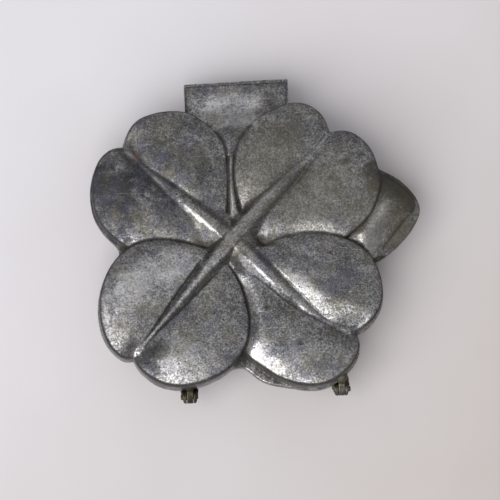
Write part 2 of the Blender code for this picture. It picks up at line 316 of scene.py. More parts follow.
def settle(field: Field, points: Array, rounds: int, reach: float, limit: float) -> Array:
    """Moves points onto the field's zero surface along its slope.

    Args:
        field: The field whose zero is the surface.
        points: One row of x, y, z for each point.
        rounds: How many times each point is moved.
        reach: Sampling reach for the slope, in mm.
        limit: Longest move in one round, in mm.

    Returns:
        The moved points.
    """
    moving = np.arange(len(points))
    for _ in range(rounds):
        part = points[moving]
        slope = gradient(field, part, reach)
        steep = np.maximum((slope**2).sum(axis=1), LEAST_SLOPE)
        move = -(field(*part.T) / steep)[:, None] * slope
        length = np.maximum(np.linalg.norm(move, axis=1), 1e-9)
        points[moving] = part + move * np.minimum(1.0, limit / length)[:, None]
        moving = moving[length > SETTLED]
    return points


def surface_net(field: Field, grid: Grid) -> tuple[Array, Array]:
    """Quads over the zero surface of a field, one vertex for each grid cell that it crosses.

    Args:
        field: The field to mesh, positive all round the grid's border.
        grid: Where it is sampled.

    Returns:
        Vertices in mm, and quads as rows of four vertex numbers, facing out.
    """
    axes = grid.axes()
    x, y, z = np.meshgrid(*axes, indexing="ij", sparse=True)
    value = np.broadcast_to(field(x, y, z), [len(a) for a in axes]).astype(np.float32)
    inside = value < 0.0
    cells = tuple(n - 1 for n in value.shape)
    total, crossings = np.zeros((*cells, 3), np.float32), np.zeros(cells, np.float32)
    edges = []
    for axis in range(3):
        near = tuple(slice(None, -1) if a == axis else slice(None) for a in range(3))
        far = tuple(slice(1, None) if a == axis else slice(None) for a in range(3))
        crossed = inside[near] != inside[far]
        first, second = value[near], value[far]
        share = np.where(crossed, first / np.where(crossed, first - second, 1.0), 0.0)
        place = [np.broadcast_to(p, value.shape)[near] for p in (x, y, z)]
        place[axis] = place[axis] + share * grid.step[axis]
        others = [a for a in range(3) if a != axis]
        for low_a in (0, 1):
            for low_b in (0, 1):
                window = [slice(None)] * 3
                for other, low in zip(others, (low_a, low_b)):
                    window[other] = slice(low, low + cells[other])
                window = tuple(window)
                hit = crossed[window]
                crossings += hit
                for a in range(3):
                    total[..., a] += np.where(hit, place[a][window], 0.0)
        edges.append((axis, others, crossed, inside[near]))
    used = crossings > 0
    number = np.full(cells, -1, np.int64)
    number[used] = np.arange(used.sum())
    vertices = total[used] / crossings[used][:, None]
    quads = []
    for axis, (a, b), crossed, starts_inside in edges:
        at = np.argwhere(crossed)
        flip = starts_inside[tuple(at.T)]
        if axis == 1:
            flip = ~flip
        ring = []
        for step_a, step_b in ((1, 1), (0, 1), (0, 0), (1, 0)):
            cell = at.copy()
            cell[:, a] -= step_a
            cell[:, b] -= step_b
            ring.append(number[tuple(cell.T)])
        quad = np.stack(ring, axis=1)
        quads.append(np.where(flip[:, None], quad, quad[:, ::-1]))
    return vertices.astype(float), np.concatenate(quads)


def thin_out(obj: bpy.types.Object, most_triangles: int) -> None:
    """Merges faces where the surface is nearly flat.

    Args:
        obj: The object, which gets the thinner mesh.
        most_triangles: The most triangles that it keeps.
    """
    triangles = 2 * len(obj.data.polygons)
    if triangles <= most_triangles:
        return
    decimate = obj.modifiers.new("thin_out", "DECIMATE")
    decimate.ratio = most_triangles / triangles
    thinned = bpy.data.meshes.new_from_object(obj.evaluated_get(bpy.context.evaluated_depsgraph_get()))
    obj.modifiers.clear()
    obj.data = thinned


def make_mesh(name: str, field: Field, grid: Grid, origin: Triple) -> bpy.types.Object:
    """Smooth mesh object over a field's zero surface, put in the row frame.

    Args:
        name: Name of the object.
        field: The field to mesh, in mm.
        grid: Where it is sampled.
        origin: World place of the field's origin, in mm.

    Returns:
        The new object, linked to the scene.
    """
    points, quads = surface_net(field, grid)
    finest = min(grid.step)
    points = settle(field, points, rounds=3, reach=0.12 * finest, limit=0.6 * finest)
    mesh = bpy.data.meshes.new(name)
    world = (points + np.array(origin)) * MM
    mesh.vertices.add(len(world))
    mesh.vertices.foreach_set("co", world.astype(np.float32).ravel())
    mesh.loops.add(quads.size)
    mesh.loops.foreach_set("vertex_index", quads.astype(np.int32).ravel())
    mesh.polygons.add(len(quads))
    mesh.polygons.foreach_set("loop_start", np.arange(0, quads.size, 4, dtype=np.int32))
    mesh.update(calc_edges=True)
    mesh.validate()
    obj = bpy.data.objects.new(name, mesh)
    bpy.context.scene.collection.objects.link(obj)
    thin_out(obj, MOST_TRIANGLES)
    obj.data.name = name
    obj.data.shade_smooth()
    LOG.info("%s: %d quads meshed, %d faces kept", name, len(quads), len(obj.data.polygons))
    return obj


def mesh_points(obj: bpy.types.Object, origin: Triple) -> Array:
    """The object's vertices in its field's own axes.

    Args:
        obj: The meshed object.
        origin: World place of the field's origin, in mm.

    Returns:
        One row of x, y, z in mm for each vertex.
    """
    co = np.empty(len(obj.data.vertices) * 3, np.float32)
    obj.data.vertices.foreach_get("co", co)
    return co.reshape(-1, 3) / MM - np.array(origin)


def paint(obj: bpy.types.Object, name: str, values: Array) -> None:
    """Keeps one number from 0 to 1 for each vertex as an attribute that a material reads."""
    attribute = obj.data.attributes.get(name) or obj.data.attributes.new(name, "FLOAT", "POINT")
    attribute.data.foreach_set("value", np.clip(values, 0.0, 1.0).astype(np.float32))


def read_paint(obj: bpy.types.Object, name: str) -> Array:
    """Reads an attribute.

    Args:
        obj: The object that has it.
        name: The attribute's name.

    Returns:
        Its number for each vertex.
    """
    values = np.empty(len(obj.data.vertices), np.float32)
    obj.data.attributes[name].data.foreach_get("value", values)
    return values


# Wear, tarnish, painted highlights and painted shade kept on the vertices


class Mark(Enum):
    """Kinds of local marks on the castings, named as the attributes that the pewter reads; stains and grime
    also carry painted shade, and bright marks painted highlights.
    """

    STAIN = "stain"
    BRIGHT = "bright"
    RUST = "rust"
    GRIME = "grime"
    OLIVE = "olive"


@dataclass(frozen=True)
class Spot:
    """A mark with a soft and ragged edge.

    Attributes:
        x: Plan x of its middle, in mm.
        y: Plan y of its middle.
        long: Half its length, in mm.
        wide: Half its width.
        bearing: Direction of its length, in degrees.
        strength: How strongly it shows in its middle.
        ragged: Unevenness of its edge, as shares of its size.
        full: Share of its size within which it shows fully.
        faded: Share of its size beyond which it doesn't show.
    """

    x: float
    y: float
    long: float
    wide: float
    bearing: float
    strength: float
    ragged: tuple[Swells, Swells] = (Swells(0.35, 1.6, 41), Swells(0.2, 0.8, 42))
    full: float = 0.45
    faded: float = 1.35

    def amount(self, x: Array, y: Array) -> Array:
        """How strongly the mark shows.

        Args:
            x: Plan x of the points, in mm.
            y: Plan y of the points.

        Returns:
            One value for each point, from 0 to the mark's strength.
        """
        angle = math.radians(self.bearing)
        along = (x - self.x) * math.cos(angle) + (y - self.y) * math.sin(angle)
        across = (y - self.y) * math.cos(angle) - (x - self.x) * math.sin(angle)
        ragged = 1.0 + self.ragged[0].at(x, y) + self.ragged[1].at(x, y)
        far = np.sqrt((along / self.long) ** 2 + (across / self.wide) ** 2) * ragged
        return self.strength * smoothstep(-far, -self.faded, -self.full)


# Besides tarnish, dirt and rubbed metal, the stains and grime hold painted shade in the pockets round the
# crossing, on the ribs' dark sides and on the stem's slopes away from the light, and the bright spots hold
# painted highlights on slopes, ribs and edges that face it.
# Plan x and y, half length and half width in mm, bearing in degrees and strength of each spot.
FRONT_SPOTS: dict[Mark, tuple[tuple[float, ...], ...]] = {
    Mark.STAIN: (
        (-33.6, 21.1, 6.0, 2.6, 40.0, 0.9), (-22.6, 32.1, 3.4, 2.4, 0.0, 0.8),
        (-24.5, 25.6, 12.0, 8.0, 135.0, 0.85), (-15.0, 24.0, 9.0, 12.0, 90.0, 0.55),
        (-37.5, 14.0, 15.0, 9.0, 105.0, 1.0), (37.5, 23.6, 1.6, 1.1, 20.0, 0.9),
        (32.7, 18.6, 1.4, 1.1, 0.0, 0.8), (20.6, 33.4, 9.0, 6.0, 70.0, 0.3),
        (-25.0, -34.6, 4.4, 3.2, 10.0, 0.9), (-27.0, -39.0, 3.0, 2.0, 120.0, 0.8),
        (9.5, -22.4, 1.0, 0.8, 0.0, 1.0), (19.4, -34.1, 1.1, 0.9, 30.0, 1.0),
        (24.0, -42.0, 8.0, 2.4, 5.0, 0.5), (-19.0, 2.6, 15.0, 4.0, -4.0, 0.6),
        (-7.0, 1.3, 3.4, 1.6, 150.0, 0.8), (31.0, -14.0, 9.0, 7.0, 60.0, 0.3),
        (19.0, -8.0, 9.0, 4.0, -20.0, 0.35), (-8.6, 0.0, 5.0, 2.6, 158.0, 0.8),
        (1.6, -7.2, 4.6, 2.4, 120.0, 1.0), (10.2, -0.2, 3.8, 2.6, -20.0, 1.1),
        (52.0, 15.5, 9.5, 5.0, -38.0, 1.3), (54.0, 0.8, 10.0, 2.6, 51.0, 0.7),
        (15.5, 13.0, 17.0, 1.3, 45.0, 0.7), (-9.0, 37.5, 5.0, 3.0, -20.0, 0.4),
        (16.0, 48.5, 4.0, 5.0, 0.0, 0.5), (4.0, 51.0, 16.0, 1.6, 2.0, 0.5),
        (-17.0, 9.0, 9.0, 5.0, -35.0, 0.4), (-21.0, 17.5, 9.0, 1.8, 137.0, 0.9),
    ),
    Mark.BRIGHT: (
        (-32.0, -13.5, 8.0, 5.5, 40.0, 0.8), (-33.5, -12.0, 4.0, 2.4, 60.0, 0.8),
        (-18.0, -36.0, 11.0, 6.0, -30.0, 0.35), (-21.0, -8.0, 11.0, 6.0, 20.0, 0.75),
        (4.8, -35.0, 4.6, 2.2, -60.0, 0.8), (11.0, -40.5, 6.0, 2.0, -40.0, 0.4),
        (21.6, -15.8, 8.5, 1.5, -46.0, 0.7), (-8.3, 5.9, 6.0, 0.6, 137.5, 1.6),
        (10.0, -12.6, 4.6, 0.45, -47.0, 1.0), (11.9, -17.6, 6.0, 0.35, -42.0, 0.8),
        (1.0, 3.0, 1.2, 0.7, 45.0, 0.8), (1.1, -2.9, 0.9, 0.6, -45.0, 1.0), (0.0, 1.0, 4.0, 1.4, 45.0, 0.6),
        (0.6, 11.5, 4.4, 0.5, 91.0, 1.0), (44.7, -2.8, 3.2, 1.8, 68.0, 1.7),
        (45.0, 5.6, 2.6, 0.9, 65.0, 1.4), (47.0, 5.0, 9.0, 4.5, 65.0, 0.7),
        (-1.9, 38.4, 2.6, 1.4, 30.0, 0.9), (-2.5, 45.2, 6.5, 2.8, 35.0, 1.6),
        (3.5, 41.5, 8.5, 3.4, -12.0, 1.5), (9.5, 46.0, 4.5, 2.2, 60.0, 1.2),
        (2.0, 46.0, 12.0, 6.0, 0.0, 0.6), (-40.6, -21.5, 5.5, 0.5, -78.0, 1.0),
        (-37.6, -20.5, 3.0, 0.45, -70.0, 0.9), (33.0, 27.8, 5.0, 2.0, 50.0, 0.3),
        (10.3, 1.7, 2.2, 0.3, -40.0, 0.9), (13.5, 15.5, 15.0, 0.8, 45.0, 0.45),
    ),
    Mark.GRIME: (
        (40.4, -3.4, 5.5, 1.6, -52.0, 0.5), (38.6, 1.0, 2.6, 1.6, 40.0, 0.45),
        (0.3, -38.6, 3.2, 2.2, 0.0, 0.5), (46.4, -7.9, 3.0, 1.6, 30.0, 0.8),
        (0.8, 5.0, 2.0, 1.3, 90.0, 0.8), (-8.2, -1.1, 4.8, 1.4, 163.0, 0.45),
        (1.1, -8.2, 3.4, 1.4, 123.0, 0.55), (7.9, -0.9, 3.4, 1.7, 12.0, 0.55),
        (-11.8, -22.0, 3.0, 2.4, 30.0, 0.3), (17.1, -20.3, 7.0, 1.0, -45.0, 0.5),
        (53.0, 17.0, 10.0, 4.0, -38.0, 0.5), (57.5, 9.0, 3.0, 2.4, 0.0, 0.45),
    ),
    Mark.OLIVE: (
        (14.0, 24.0, 20.0, 12.0, 75.0, 0.7), (28.0, 14.0, 18.0, 12.0, 25.0, 0.75),
        (50.0, 8.0, 15.0, 13.0, 60.0, 0.9), (2.0, 0.0, 8.0, 6.0, 45.0, 0.6),
    ),
    Mark.RUST: (
        (-28.5, 28.8, 2.1, 1.5, 60.0, 0.7),
    ),
}


def shelter(field: Field, points: Array, normals: Array, reaches: tuple[float, ...]) -> Array:
    """How closed in each surface point is, from 0 in the open to 1 in a deep corner.

    Args:
        field: The field whose zero is the surface.
        points: One row of x, y, z for each point, in mm.
        normals: The outward unit normal at each point.
        reaches: How far out from the surface to look, in mm.

    Returns:
        One value for each point.
    """
    total = np.zeros(len(points))
    for reach in reaches:
        total += 1.0 - np.clip(field(*(points + reach * normals).T) / reach, 0.0, 1.0)
    return total / len(reaches)


def mark_wear(obj: bpy.types.Object, field: Field, origin: Triple, reaches: tuple[float, ...]) -> None:
    """Keeps dirt and painted shade in corners, and wear on edges, as attributes of a meshed piece.

    Args:
        obj: The piece.
        field: The field that it was meshed from.
        origin: World place of the field's origin, in mm.
        reaches: How far out from the surface corners are looked for, in mm.
    """
    sample, depth, edge_share = 0.08, 0.45, 1.6
    points = mesh_points(obj, origin)
    slope = gradient(field, points, sample)
    normals = slope / np.maximum(np.linalg.norm(slope, axis=1), 1e-6)[:, None]
    # Closed-in corners get dirt and painted shade in the same attribute.
    paint(obj, Mark.GRIME.value, shelter(field, points, normals, reaches))
    paint(obj, "wear", edge_share * (1.0 + field(*(points - depth * normals).T) / depth))


# The clover's plan and relief


@dataclass(frozen=True)
class Leaf:
    """One heart-shaped leaf, in mm from the crossing of the ribs.

    Attributes:
        name: Compass corner that it lies in.
        lobes: The two smooth lines of its outline, from the middle to the notch and back.
        midrib: The line of its rib and crease, from the crossing to the notch.
        rise: Height of its crown above the parting plane.
        rib_top: Height of its rib at the crossing.
        rib_end: Distance along the midrib at which the rib has sunk into the crease.
        rib_end_top: Height of the rib there.
        rib_flats: Half widths of the rib's flat top, at the places in RIB_PLACES along it.
        rib_feet: Half widths of the rib's foot, at the same places.
        trench: How far the leaf's top drops where it meets the foot of the rib.
        crease: How far it drops to where the next leaf's edge runs over it.
        under: Names of the leaves whose edges run over it.
    """

    name: str
    lobes: tuple[Line, Line]
    midrib: Line
    rise: float
    rib_top: float
    rib_end: float
    rib_end_top: float
    rib_flats: tuple[float, ...]
    rib_feet: tuple[float, ...]
    trench: float
    crease: float = 0.0
    under: tuple[str, ...] = ()

    def outline(self) -> Array:
        """The whole outline as closely spaced points."""
        return np.vstack([smooth_line(lobe, 0.7, 4) for lobe in self.lobes])


RIB_PLACES = (0.0, 0.22, 0.42, 0.7, 1.0)

LEAVES = (
    Leaf(
        "north_west",
        (
            ((-32.5, 32.9), (-31.9, 35.9), (-30.3, 38.6), (-26.9, 41.7), (-20.5, 43.5), (-14.1, 43.4),
             (-10.1, 42.2), (-5.5, 38.6), (-1.8, 34.3), (-0.3, 30.8), (0.1, 24.7), (-0.1, 16.5),
             (-0.9, 10.0), (-1.6, 5.4), (-2.6, 1.6)),
            ((-2.6, 1.6), (-7.0, -1.0), (-12.0, -2.2), (-20.0, -3.4), (-28.0, -3.0), (-33.0, -0.4),
             (-36.6, 2.4), (-40.1, 6.4), (-42.6, 11.2), (-43.5, 17.0), (-42.9, 22.7), (-41.0, 27.9),
             (-37.8, 31.4), (-34.9, 32.9), (-32.5, 32.9)),
        ),
        ((0.0, 0.0), (-4.6, 4.1), (-9.1, 8.5), (-13.7, 12.9), (-19.4, 18.6), (-24.1, 23.0),
         (-28.5, 28.0), (-32.5, 32.9)),
        10.3, 11.5, 36.0, 8.6,
        (1.2, 0.8, 0.4, 0.2, 0.0), (2.9, 3.2, 3.1, 2.4, 0.8), 0.2, 1.3, ("south_west",),
    ),
    Leaf(
        "north_east",
        (
            ((6.4, 1.6), (4.4, 6.5), (3.0, 12.6), (2.1, 17.0), (1.8, 23.0), (2.7, 28.7), (4.7, 33.6),
             (8.2, 38.0), (13.1, 41.6), (18.1, 43.8), (22.3, 44.7), (26.5, 44.1), (30.6, 41.2),
             (32.9, 37.6), (33.6, 34.7)),
            ((33.6, 34.7), (36.0, 35.1), (38.9, 34.6), (43.3, 32.0), (46.7, 27.4), (48.3, 21.5),
             (48.4, 15.8), (47.1, 10.9), (44.4, 6.1), (40.1, 2.0), (35.0, -1.4), (28.0, -3.8),
             (20.0, -4.2), (12.6, -3.0), (8.6, -0.6), (6.4, 1.6)),
        ),
        ((0.0, 0.0), (4.9, 4.8), (11.0, 11.1), (16.4, 16.2), (22.5, 22.4), (28.0, 27.8),
         (31.4, 31.6), (33.6, 34.7)),
        10.3, 12.0, 43.0, 8.2,
        (1.6, 1.2, 0.9, 0.6, 0.1), (2.9, 3.1, 3.0, 2.6, 0.7), 0.35, 1.4, ("south_east",),
    ),
    Leaf(
        "south_east",
        (
            ((1.6, -2.4), (6.0, -3.2), (10.6, -1.8), (15.3, -0.1), (20.9, 1.1), (27.3, 1.2),
             (34.0, 0.0), (39.5, -2.8), (43.4, -6.4), (45.8, -11.1), (46.8, -16.9), (46.1, -22.5),
             (43.4, -27.0), (40.2, -29.8), (37.3, -30.8)),
            ((37.3, -30.8), (38.3, -33.6), (37.8, -37.6), (35.4, -41.4), (32.1, -44.4), (28.6, -46.5),
             (25.2, -47.4), (21.7, -47.4), (18.0, -46.7), (14.3, -45.3), (11.0, -43.6), (8.3, -41.6),
             (4.7, -38.8), (1.8, -36.0), (0.6, -32.6), (0.4, -28.0), (0.6, -22.0), (0.5, -16.0),
             (-0.6, -10.5), (-1.4, -6.0), (1.6, -2.4)),
        ),
        ((0.0, 0.0), (2.9, -3.3), (7.8, -8.5), (12.4, -13.4), (17.7, -18.7), (23.0, -23.4),
         (27.8, -27.0), (32.8, -29.7), (37.3, -30.8)),
        10.6, 11.6, 40.0, 8.4,
        (1.2, 0.7, 0.4, 0.2, 0.0), (3.0, 3.3, 3.2, 2.5, 0.6), 0.45, 2.3, ("south_west",),
    ),
    Leaf(
        "south_west",
        (
            ((-3.0, -3.4), (-8.2, -2.0), (-11.8, -0.7), (-16.6, 0.8), (-22.3, 1.7), (-27.3, 1.4),
             (-31.8, -0.2), (-35.6, -2.9), (-38.9, -6.9), (-41.2, -12.0), (-42.5, -17.9),
             (-42.4, -23.9), (-40.8, -29.9), (-37.9, -34.2), (-35.0, -36.0), (-32.6, -35.5)),
            ((-32.6, -35.5), (-31.9, -37.8), (-30.1, -40.1), (-26.0, -43.4), (-20.8, -45.3),
             (-15.5, -45.5), (-10.7, -44.4), (-6.1, -42.7), (-2.0, -39.8), (1.3, -36.1),
             (3.2, -32.2), (4.2, -27.5), (4.0, -22.7), (2.9, -17.3), (1.1, -11.7), (-1.6, -6.7),
             (-3.0, -3.4)),
        ),
        ((0.0, 0.0), (-4.2, -4.7), (-8.4, -9.2), (-13.2, -14.3), (-20.3, -22.1), (-26.0, -28.2),
         (-32.6, -35.5)),
        11.0, 12.0, 39.0, 8.5,
        (1.7, 0.9, 0.1, 0.0, 0.0), (2.9, 3.1, 2.8, 2.0, 0.5), 1.7,
    ),
)


@cache
def plan_outlines() -> dict[str, Array]:
    """Signed distance to each leaf's outline over the plan raster."""
    x, y = PLAN.points()
    return {leaf.name: outline_distance(x, y, leaf.outline()) for leaf in LEAVES}


@cache
def plan_midribs() -> dict[str, tuple[Array, Array]]:
    """Distance to each leaf's midrib over the raster, and how far along it the nearest point is."""
    x, y = PLAN.points()
    return {leaf.name: line_distance(x, y, smooth_line(leaf.midrib, 1.5, 2)) for leaf in LEAVES}


class Half(Enum):
    """The two halves of the mould, by their word in the frame's names."""

    FRONT = "front"
    BACK = "back"

    @property
    def up(self) -> float:
        """1 for the front half and -1 for the back one, whose leaves point down."""
        return 1.0 if self is Half.FRONT else -1.0


@dataclass
class CloverRelief:
    """The raised clover above a parting plane at zero, in mm, as a distance field.

    A positive shrink moves every wall inwards and a positive drop lowers every top, which
    turns the outside of the casting into its hollow.

    Attributes:
        half: Which casting it belongs to.
        broad: Broad swells of the front leaves' tops.
        back_broad: The same of the back ones.
        fine: Fine swells of the front leaves' tops.
        ripple: Unevenness of the walls.
        scuff: Unevenness of the ribs and of the bar between the upper leaves.
        draft: How far a wall leans in for each mm that it rises.
        pivot: Height at which a wall stands on its outline.
        dome: Fall of a leaf's top from its crown to its edge.
        dome_reach: How far inwards from the edge that fall goes on.
        crease_reach: How far from the next leaf's edge a leaf's top starts to drop.
        crease_opens: Distances from the middle between which that drop grows.
        trench_ends: Distances from the middle between which the trenches by the ribs run out.
        shoulder: Radius of the leaves' top edges.
        valley_half: Half width of the valley along a midrib.
        valley_start: Distance from the middle at which it starts to deepen.
        valley_length: Over what length it deepens.
        valley_opens: Distances from the middle between which it opens.
        valley_round: How rounded its bottom is, in square mm.
        valley_near: Its depth by the middle.
        valley_far: Its depth at the notch.
        rib_round: Radius of the ribs' top edges.
        rib_curve: Power by which their crests sink along the midribs.
        rib_foot_drop: Share of the trench that their feet reach down.
        rib_slopes: The least and the most that their sides fall for each mm outwards.
        rib_margin: How far inside its leaf's outline a rib starts to drop away.
        rib_stop_starts: Distances from the middle between which that drop sets in.
        rib_stop: How steeply it drops there.
        rib_fillet: Fillet at the foot of the ribs.
        rib_scale: What turns a height over a rib's steep sides to a distance.
        dirt_starts: Distances from a rib's flat top between which the painted shade on its flanks sets in.
        dirt_foot: Distances inwards from its foot between which that painted shade is full.
        dirt_edge: Distances from the leaf's outline between which it runs out.
        dirt_ends: Distances from the middle between which it runs out.
        edge_inner: Distances from a wall between which the line of painted shade and dirt on the shoulder
            sets in.
        edge_outer: The same on the wall's other side.
        edge_under: The same from a leaf that the wall runs under, where the line stops.
        edge_clears: Heights above the ribs between which it sets in.
        back_rise: Height of the back casting's crowns, which it lies on, less its swells.
        curve: Power by which creases and valleys run out.
        web_radius: Outline of the floor between the leaves.
        web_top: Height of that floor.
        web_round: Radius of its edge.
        leaf_fillet: Fillet where a leaf meets the floor or another leaf.
        low_fillet: Fillet at the foot of the stem and of the bar.
        strip: The low bar between the two upper leaves.
        strip_halves: Least half width of its flat top, and how much more it is by the middle.
        strip_widens: Plan y, with its sign turned round, between which it widens.
        strip_slope: How far its sides fall for each mm outwards.
        strip_scale: What turns a height over its steep sides to a distance.
        strip_round: Radius of its top edges.
        strip_top: Height of its crest.
        strip_dip: How much lower its crest is at the upper end.
        strip_dip_length: Over what length from that end its crest rises.
        hump: Outline of the stem's raised part.
        hump_top: Height of its crest.
        hump_edge: Height of its top at its edge.
        hump_reach: How far in from the edge its top still rises.
        hump_round: Radius of its top edge.
        hump_creases: How far its top drops beside each leaf that it passes under, and over what width.
    """

    half: Half
    broad: Swells = Swells(0.07, 7.0, 3)
    back_broad: Swells = Swells(0.03, 7.0, 3)
    fine: Swells = Swells(0.03, 2.7, 4)
    ripple: Swells = Swells(0.07, 4.0, 5)
    scuff: Swells = Swells(0.05, 3.1, 6)
    draft: float = 0.03
    pivot: float = 9.0
    dome: float = 1.9
    dome_reach: float = 12.0
    crease_reach: float = 4.5
    crease_opens: Point = (4.0, 14.0)
    trench_ends: Point = (38.0, 45.0)
    shoulder: float = 0.8
    valley_half: float = 8.5
    valley_start: float = 8.0
    valley_length: float = 38.0
    valley_opens: Point = (2.0, 10.0)
    valley_round: float = 0.6
    valley_near: float = 0.5
    valley_far: float = 2.9
    rib_round: float = 0.9
    rib_curve: float = 1.4
    rib_foot_drop: float = 0.8
    rib_slopes: Point = (0.3, 1.4)
    rib_margin: float = 1.5
    rib_stop_starts: Point = (8.0, 16.0)
    rib_stop: float = 4.0
    rib_fillet: float = 0.35
    rib_scale: float = 0.8
    dirt_starts: Point = (0.3, 1.2)
    dirt_foot: Point = (-0.6, 0.3)
    dirt_edge: Point = (-3.0, 0.0)
    dirt_ends: Point = (-32.0, -10.0)
    edge_inner: Point = (-0.75, -0.15)
    edge_outer: Point = (-0.8, -0.2)
    edge_under: Point = (-0.4, 0.2)
    edge_clears: Point = (0.2, 0.9)
    back_rise: float = 11.96
    curve: float = 1.6
    web_radius: float = 31.0
    web_top: float = 5.6
    web_round: float = 1.0
    leaf_fillet: float = 0.2
    low_fillet: float = 0.3
    strip: Line = ((1.5, 33.5), (1.6, 28.6), (1.2, 22.9), (1.0, 17.1), (1.2, 13.0), (1.4, 8.5), (1.2, 4.0))
    strip_halves: Point = (0.3, 0.9)
    strip_widens: Point = (-13.0, -6.0)
    strip_slope: float = 1.4
    strip_scale: float = 0.7
    strip_round: float = 0.3
    strip_top: float = 8.8
    strip_dip: float = 0.7
    strip_dip_length: float = 8.0
    hump: Line = (
        (39.0, 25.8), (45.3, 23.9), (49.8, 21.5), (54.4, 18.5), (57.8, 15.3), (60.1, 12.0),
        (60.7, 9.9), (59.3, 7.6), (56.3, 4.2), (52.7, 0.2), (50.4, -2.6), (47.8, -5.6),
        (43.5, -10.5), (30.0, -8.0), (27.0, 12.0), (39.0, 25.8),
    )
    hump_top: float = 9.4
    hump_edge: float = 2.6
    hump_reach: float = 12.0
    hump_round: float = 1.8
    hump_creases: tuple[tuple[str, float, float], ...] = (
        ("north_east", 1.9, 4.5), ("south_east", 2.6, 6.5),
    )

    def valley_depth(self, along: Array) -> Array:
        """Depth of the valley between a leaf's two pillows.

        Args:
            along: Distance along its midrib, in mm.

        Returns:
            The depth in mm.
        """
        share = np.clip((along - self.valley_start) / self.valley_length, 0.0, 1.0)
        depth = self.valley_near + (self.valley_far - self.valley_near) * share**1.2
        return smoothstep(along, *self.valley_opens) * depth

    def pillow(
        self, outline: Array, dome: float, reach: float, creases: Iterable[tuple[str, Array | float, float]]
    ) -> Array:
        """Fall of a domed top from its crown to its edge and to the leaves that run over it.

        Args:
            outline: Distance to its outline, in mm, negative inside.
            dome: Its fall at the edge.
            reach: How far inwards from the edge that fall goes on.
            creases: Name of each leaf that runs over it, and how far it drops there over what width.

        Returns:
            The fall in mm at each point.
        """
        fall = dome * (1.0 - np.clip(-outline / reach, 0.0, 1.0)) ** 2
        for name, depth, width in creases:
            away = np.clip(plan_outlines()[name] / width, 0.0, 1.0)
            fall = np.hypot(fall, depth * (1.0 - away) ** self.curve)
        return fall

    def rib_profile(self, leaf: Leaf) -> tuple[Array, Array, Array, Array]:
        """Where the points of the raster lie on a leaf's rib.

        Args:
            leaf: The leaf.

        Returns:
            Distance from the midrib, place along it, and half widths of the rib's top and foot there.
        """
        across, along = plan_midribs()[leaf.name]
        share = along / leaf.rib_end
        flat, foot = (np.interp(share, RIB_PLACES, widths) for widths in (leaf.rib_flats, leaf.rib_feet))
        return across, along, flat, foot

    def leaf_top(self, leaf: Leaf) -> Array:
        """Height of a leaf's top over the plan: two pillows with a valley between them.

        Args:
            leaf: The leaf.

        Returns:
            The height in mm at each point of the raster.
        """
        x, y = PLAN.points()
        across, along, _, foot = self.rib_profile(leaf)
        crease = leaf.crease * smoothstep(along, *self.crease_opens)
        creases = [(name, crease, self.crease_reach) for name in leaf.under]
        fall = self.pillow(plan_outlines()[leaf.name], self.dome, self.dome_reach, creases)
        flank = np.sqrt(across**2 + self.valley_round) / self.valley_half
        fall = fall + self.valley_depth(along) * np.clip(1.0 - flank, 0.0, 1.0) ** self.curve
        if self.half is Half.BACK:
            return self.back_rise - fall + self.back_broad.at(x, y)
        near, far = self.trench_ends
        trench = leaf.trench * smoothstep(foot - across, -0.35, 0.35)
        fall = fall + trench * smoothstep(-along, -far, -near)
        return leaf.rise - fall + self.broad.at(x, y) + self.fine.at(x, y)

    def rib_top(self, leaf: Leaf) -> Array:
        """Height of a leaf's rib over the plan, sloping down on both sides of its flat top.

        Args:
            leaf: The leaf.

        Returns:
            The height in mm at each point of the raster.
        """
        across, along, flat, foot = self.rib_profile(leaf)
        crest = leaf.rib_top - (leaf.rib_top - leaf.rib_end_top) * (along / leaf.rib_end) ** self.rib_curve
        base = leaf.rise - self.valley_depth(along) - self.rib_foot_drop * leaf.trench
        slope = np.clip((crest - base) / (foot - flat), *self.rib_slopes)
        beyond = np.maximum(across - flat, 0.0)
        fade = smoothstep(np.hypot(*PLAN.points()), *self.rib_stop_starts)
        outside = np.maximum(plan_outlines()[leaf.name] + self.rib_margin, 0.0) * fade
        sides = slope * (np.hypot(beyond, self.rib_round) - self.rib_round)
        return crest - sides - self.rib_stop * outside

    def rib_dirt(self, leaf: Leaf) -> Array:
        """Strength of the painted shade on both flanks of a leaf's rib, strongest by the middle.

        Args:
            leaf: The leaf.

        Returns:
            One value from 0 to 1 at each point of the raster.
        """
        across, along, flat, foot = self.rib_profile(leaf)
        band = smoothstep(across - flat, *self.dirt_starts)
        band = band * smoothstep(foot - across, *self.dirt_foot)
        inside = smoothstep(-plan_outlines()[leaf.name], *self.dirt_edge)
        return band * smoothstep(-along, *self.dirt_ends) * inside

    @cached_property
    def maps(self) -> dict[str, int]:
        """Number of each layer in the stack that the field reads.

        Returns:
            The numbers by the layers' names.
        """
        names = [part + leaf.name for leaf in LEAVES for part in ("wall_", "top_")]
        names += ["rib", "strip", "web", "hump", "hump_top", "dirt"]
        return {name: number for number, name in enumerate(names)}

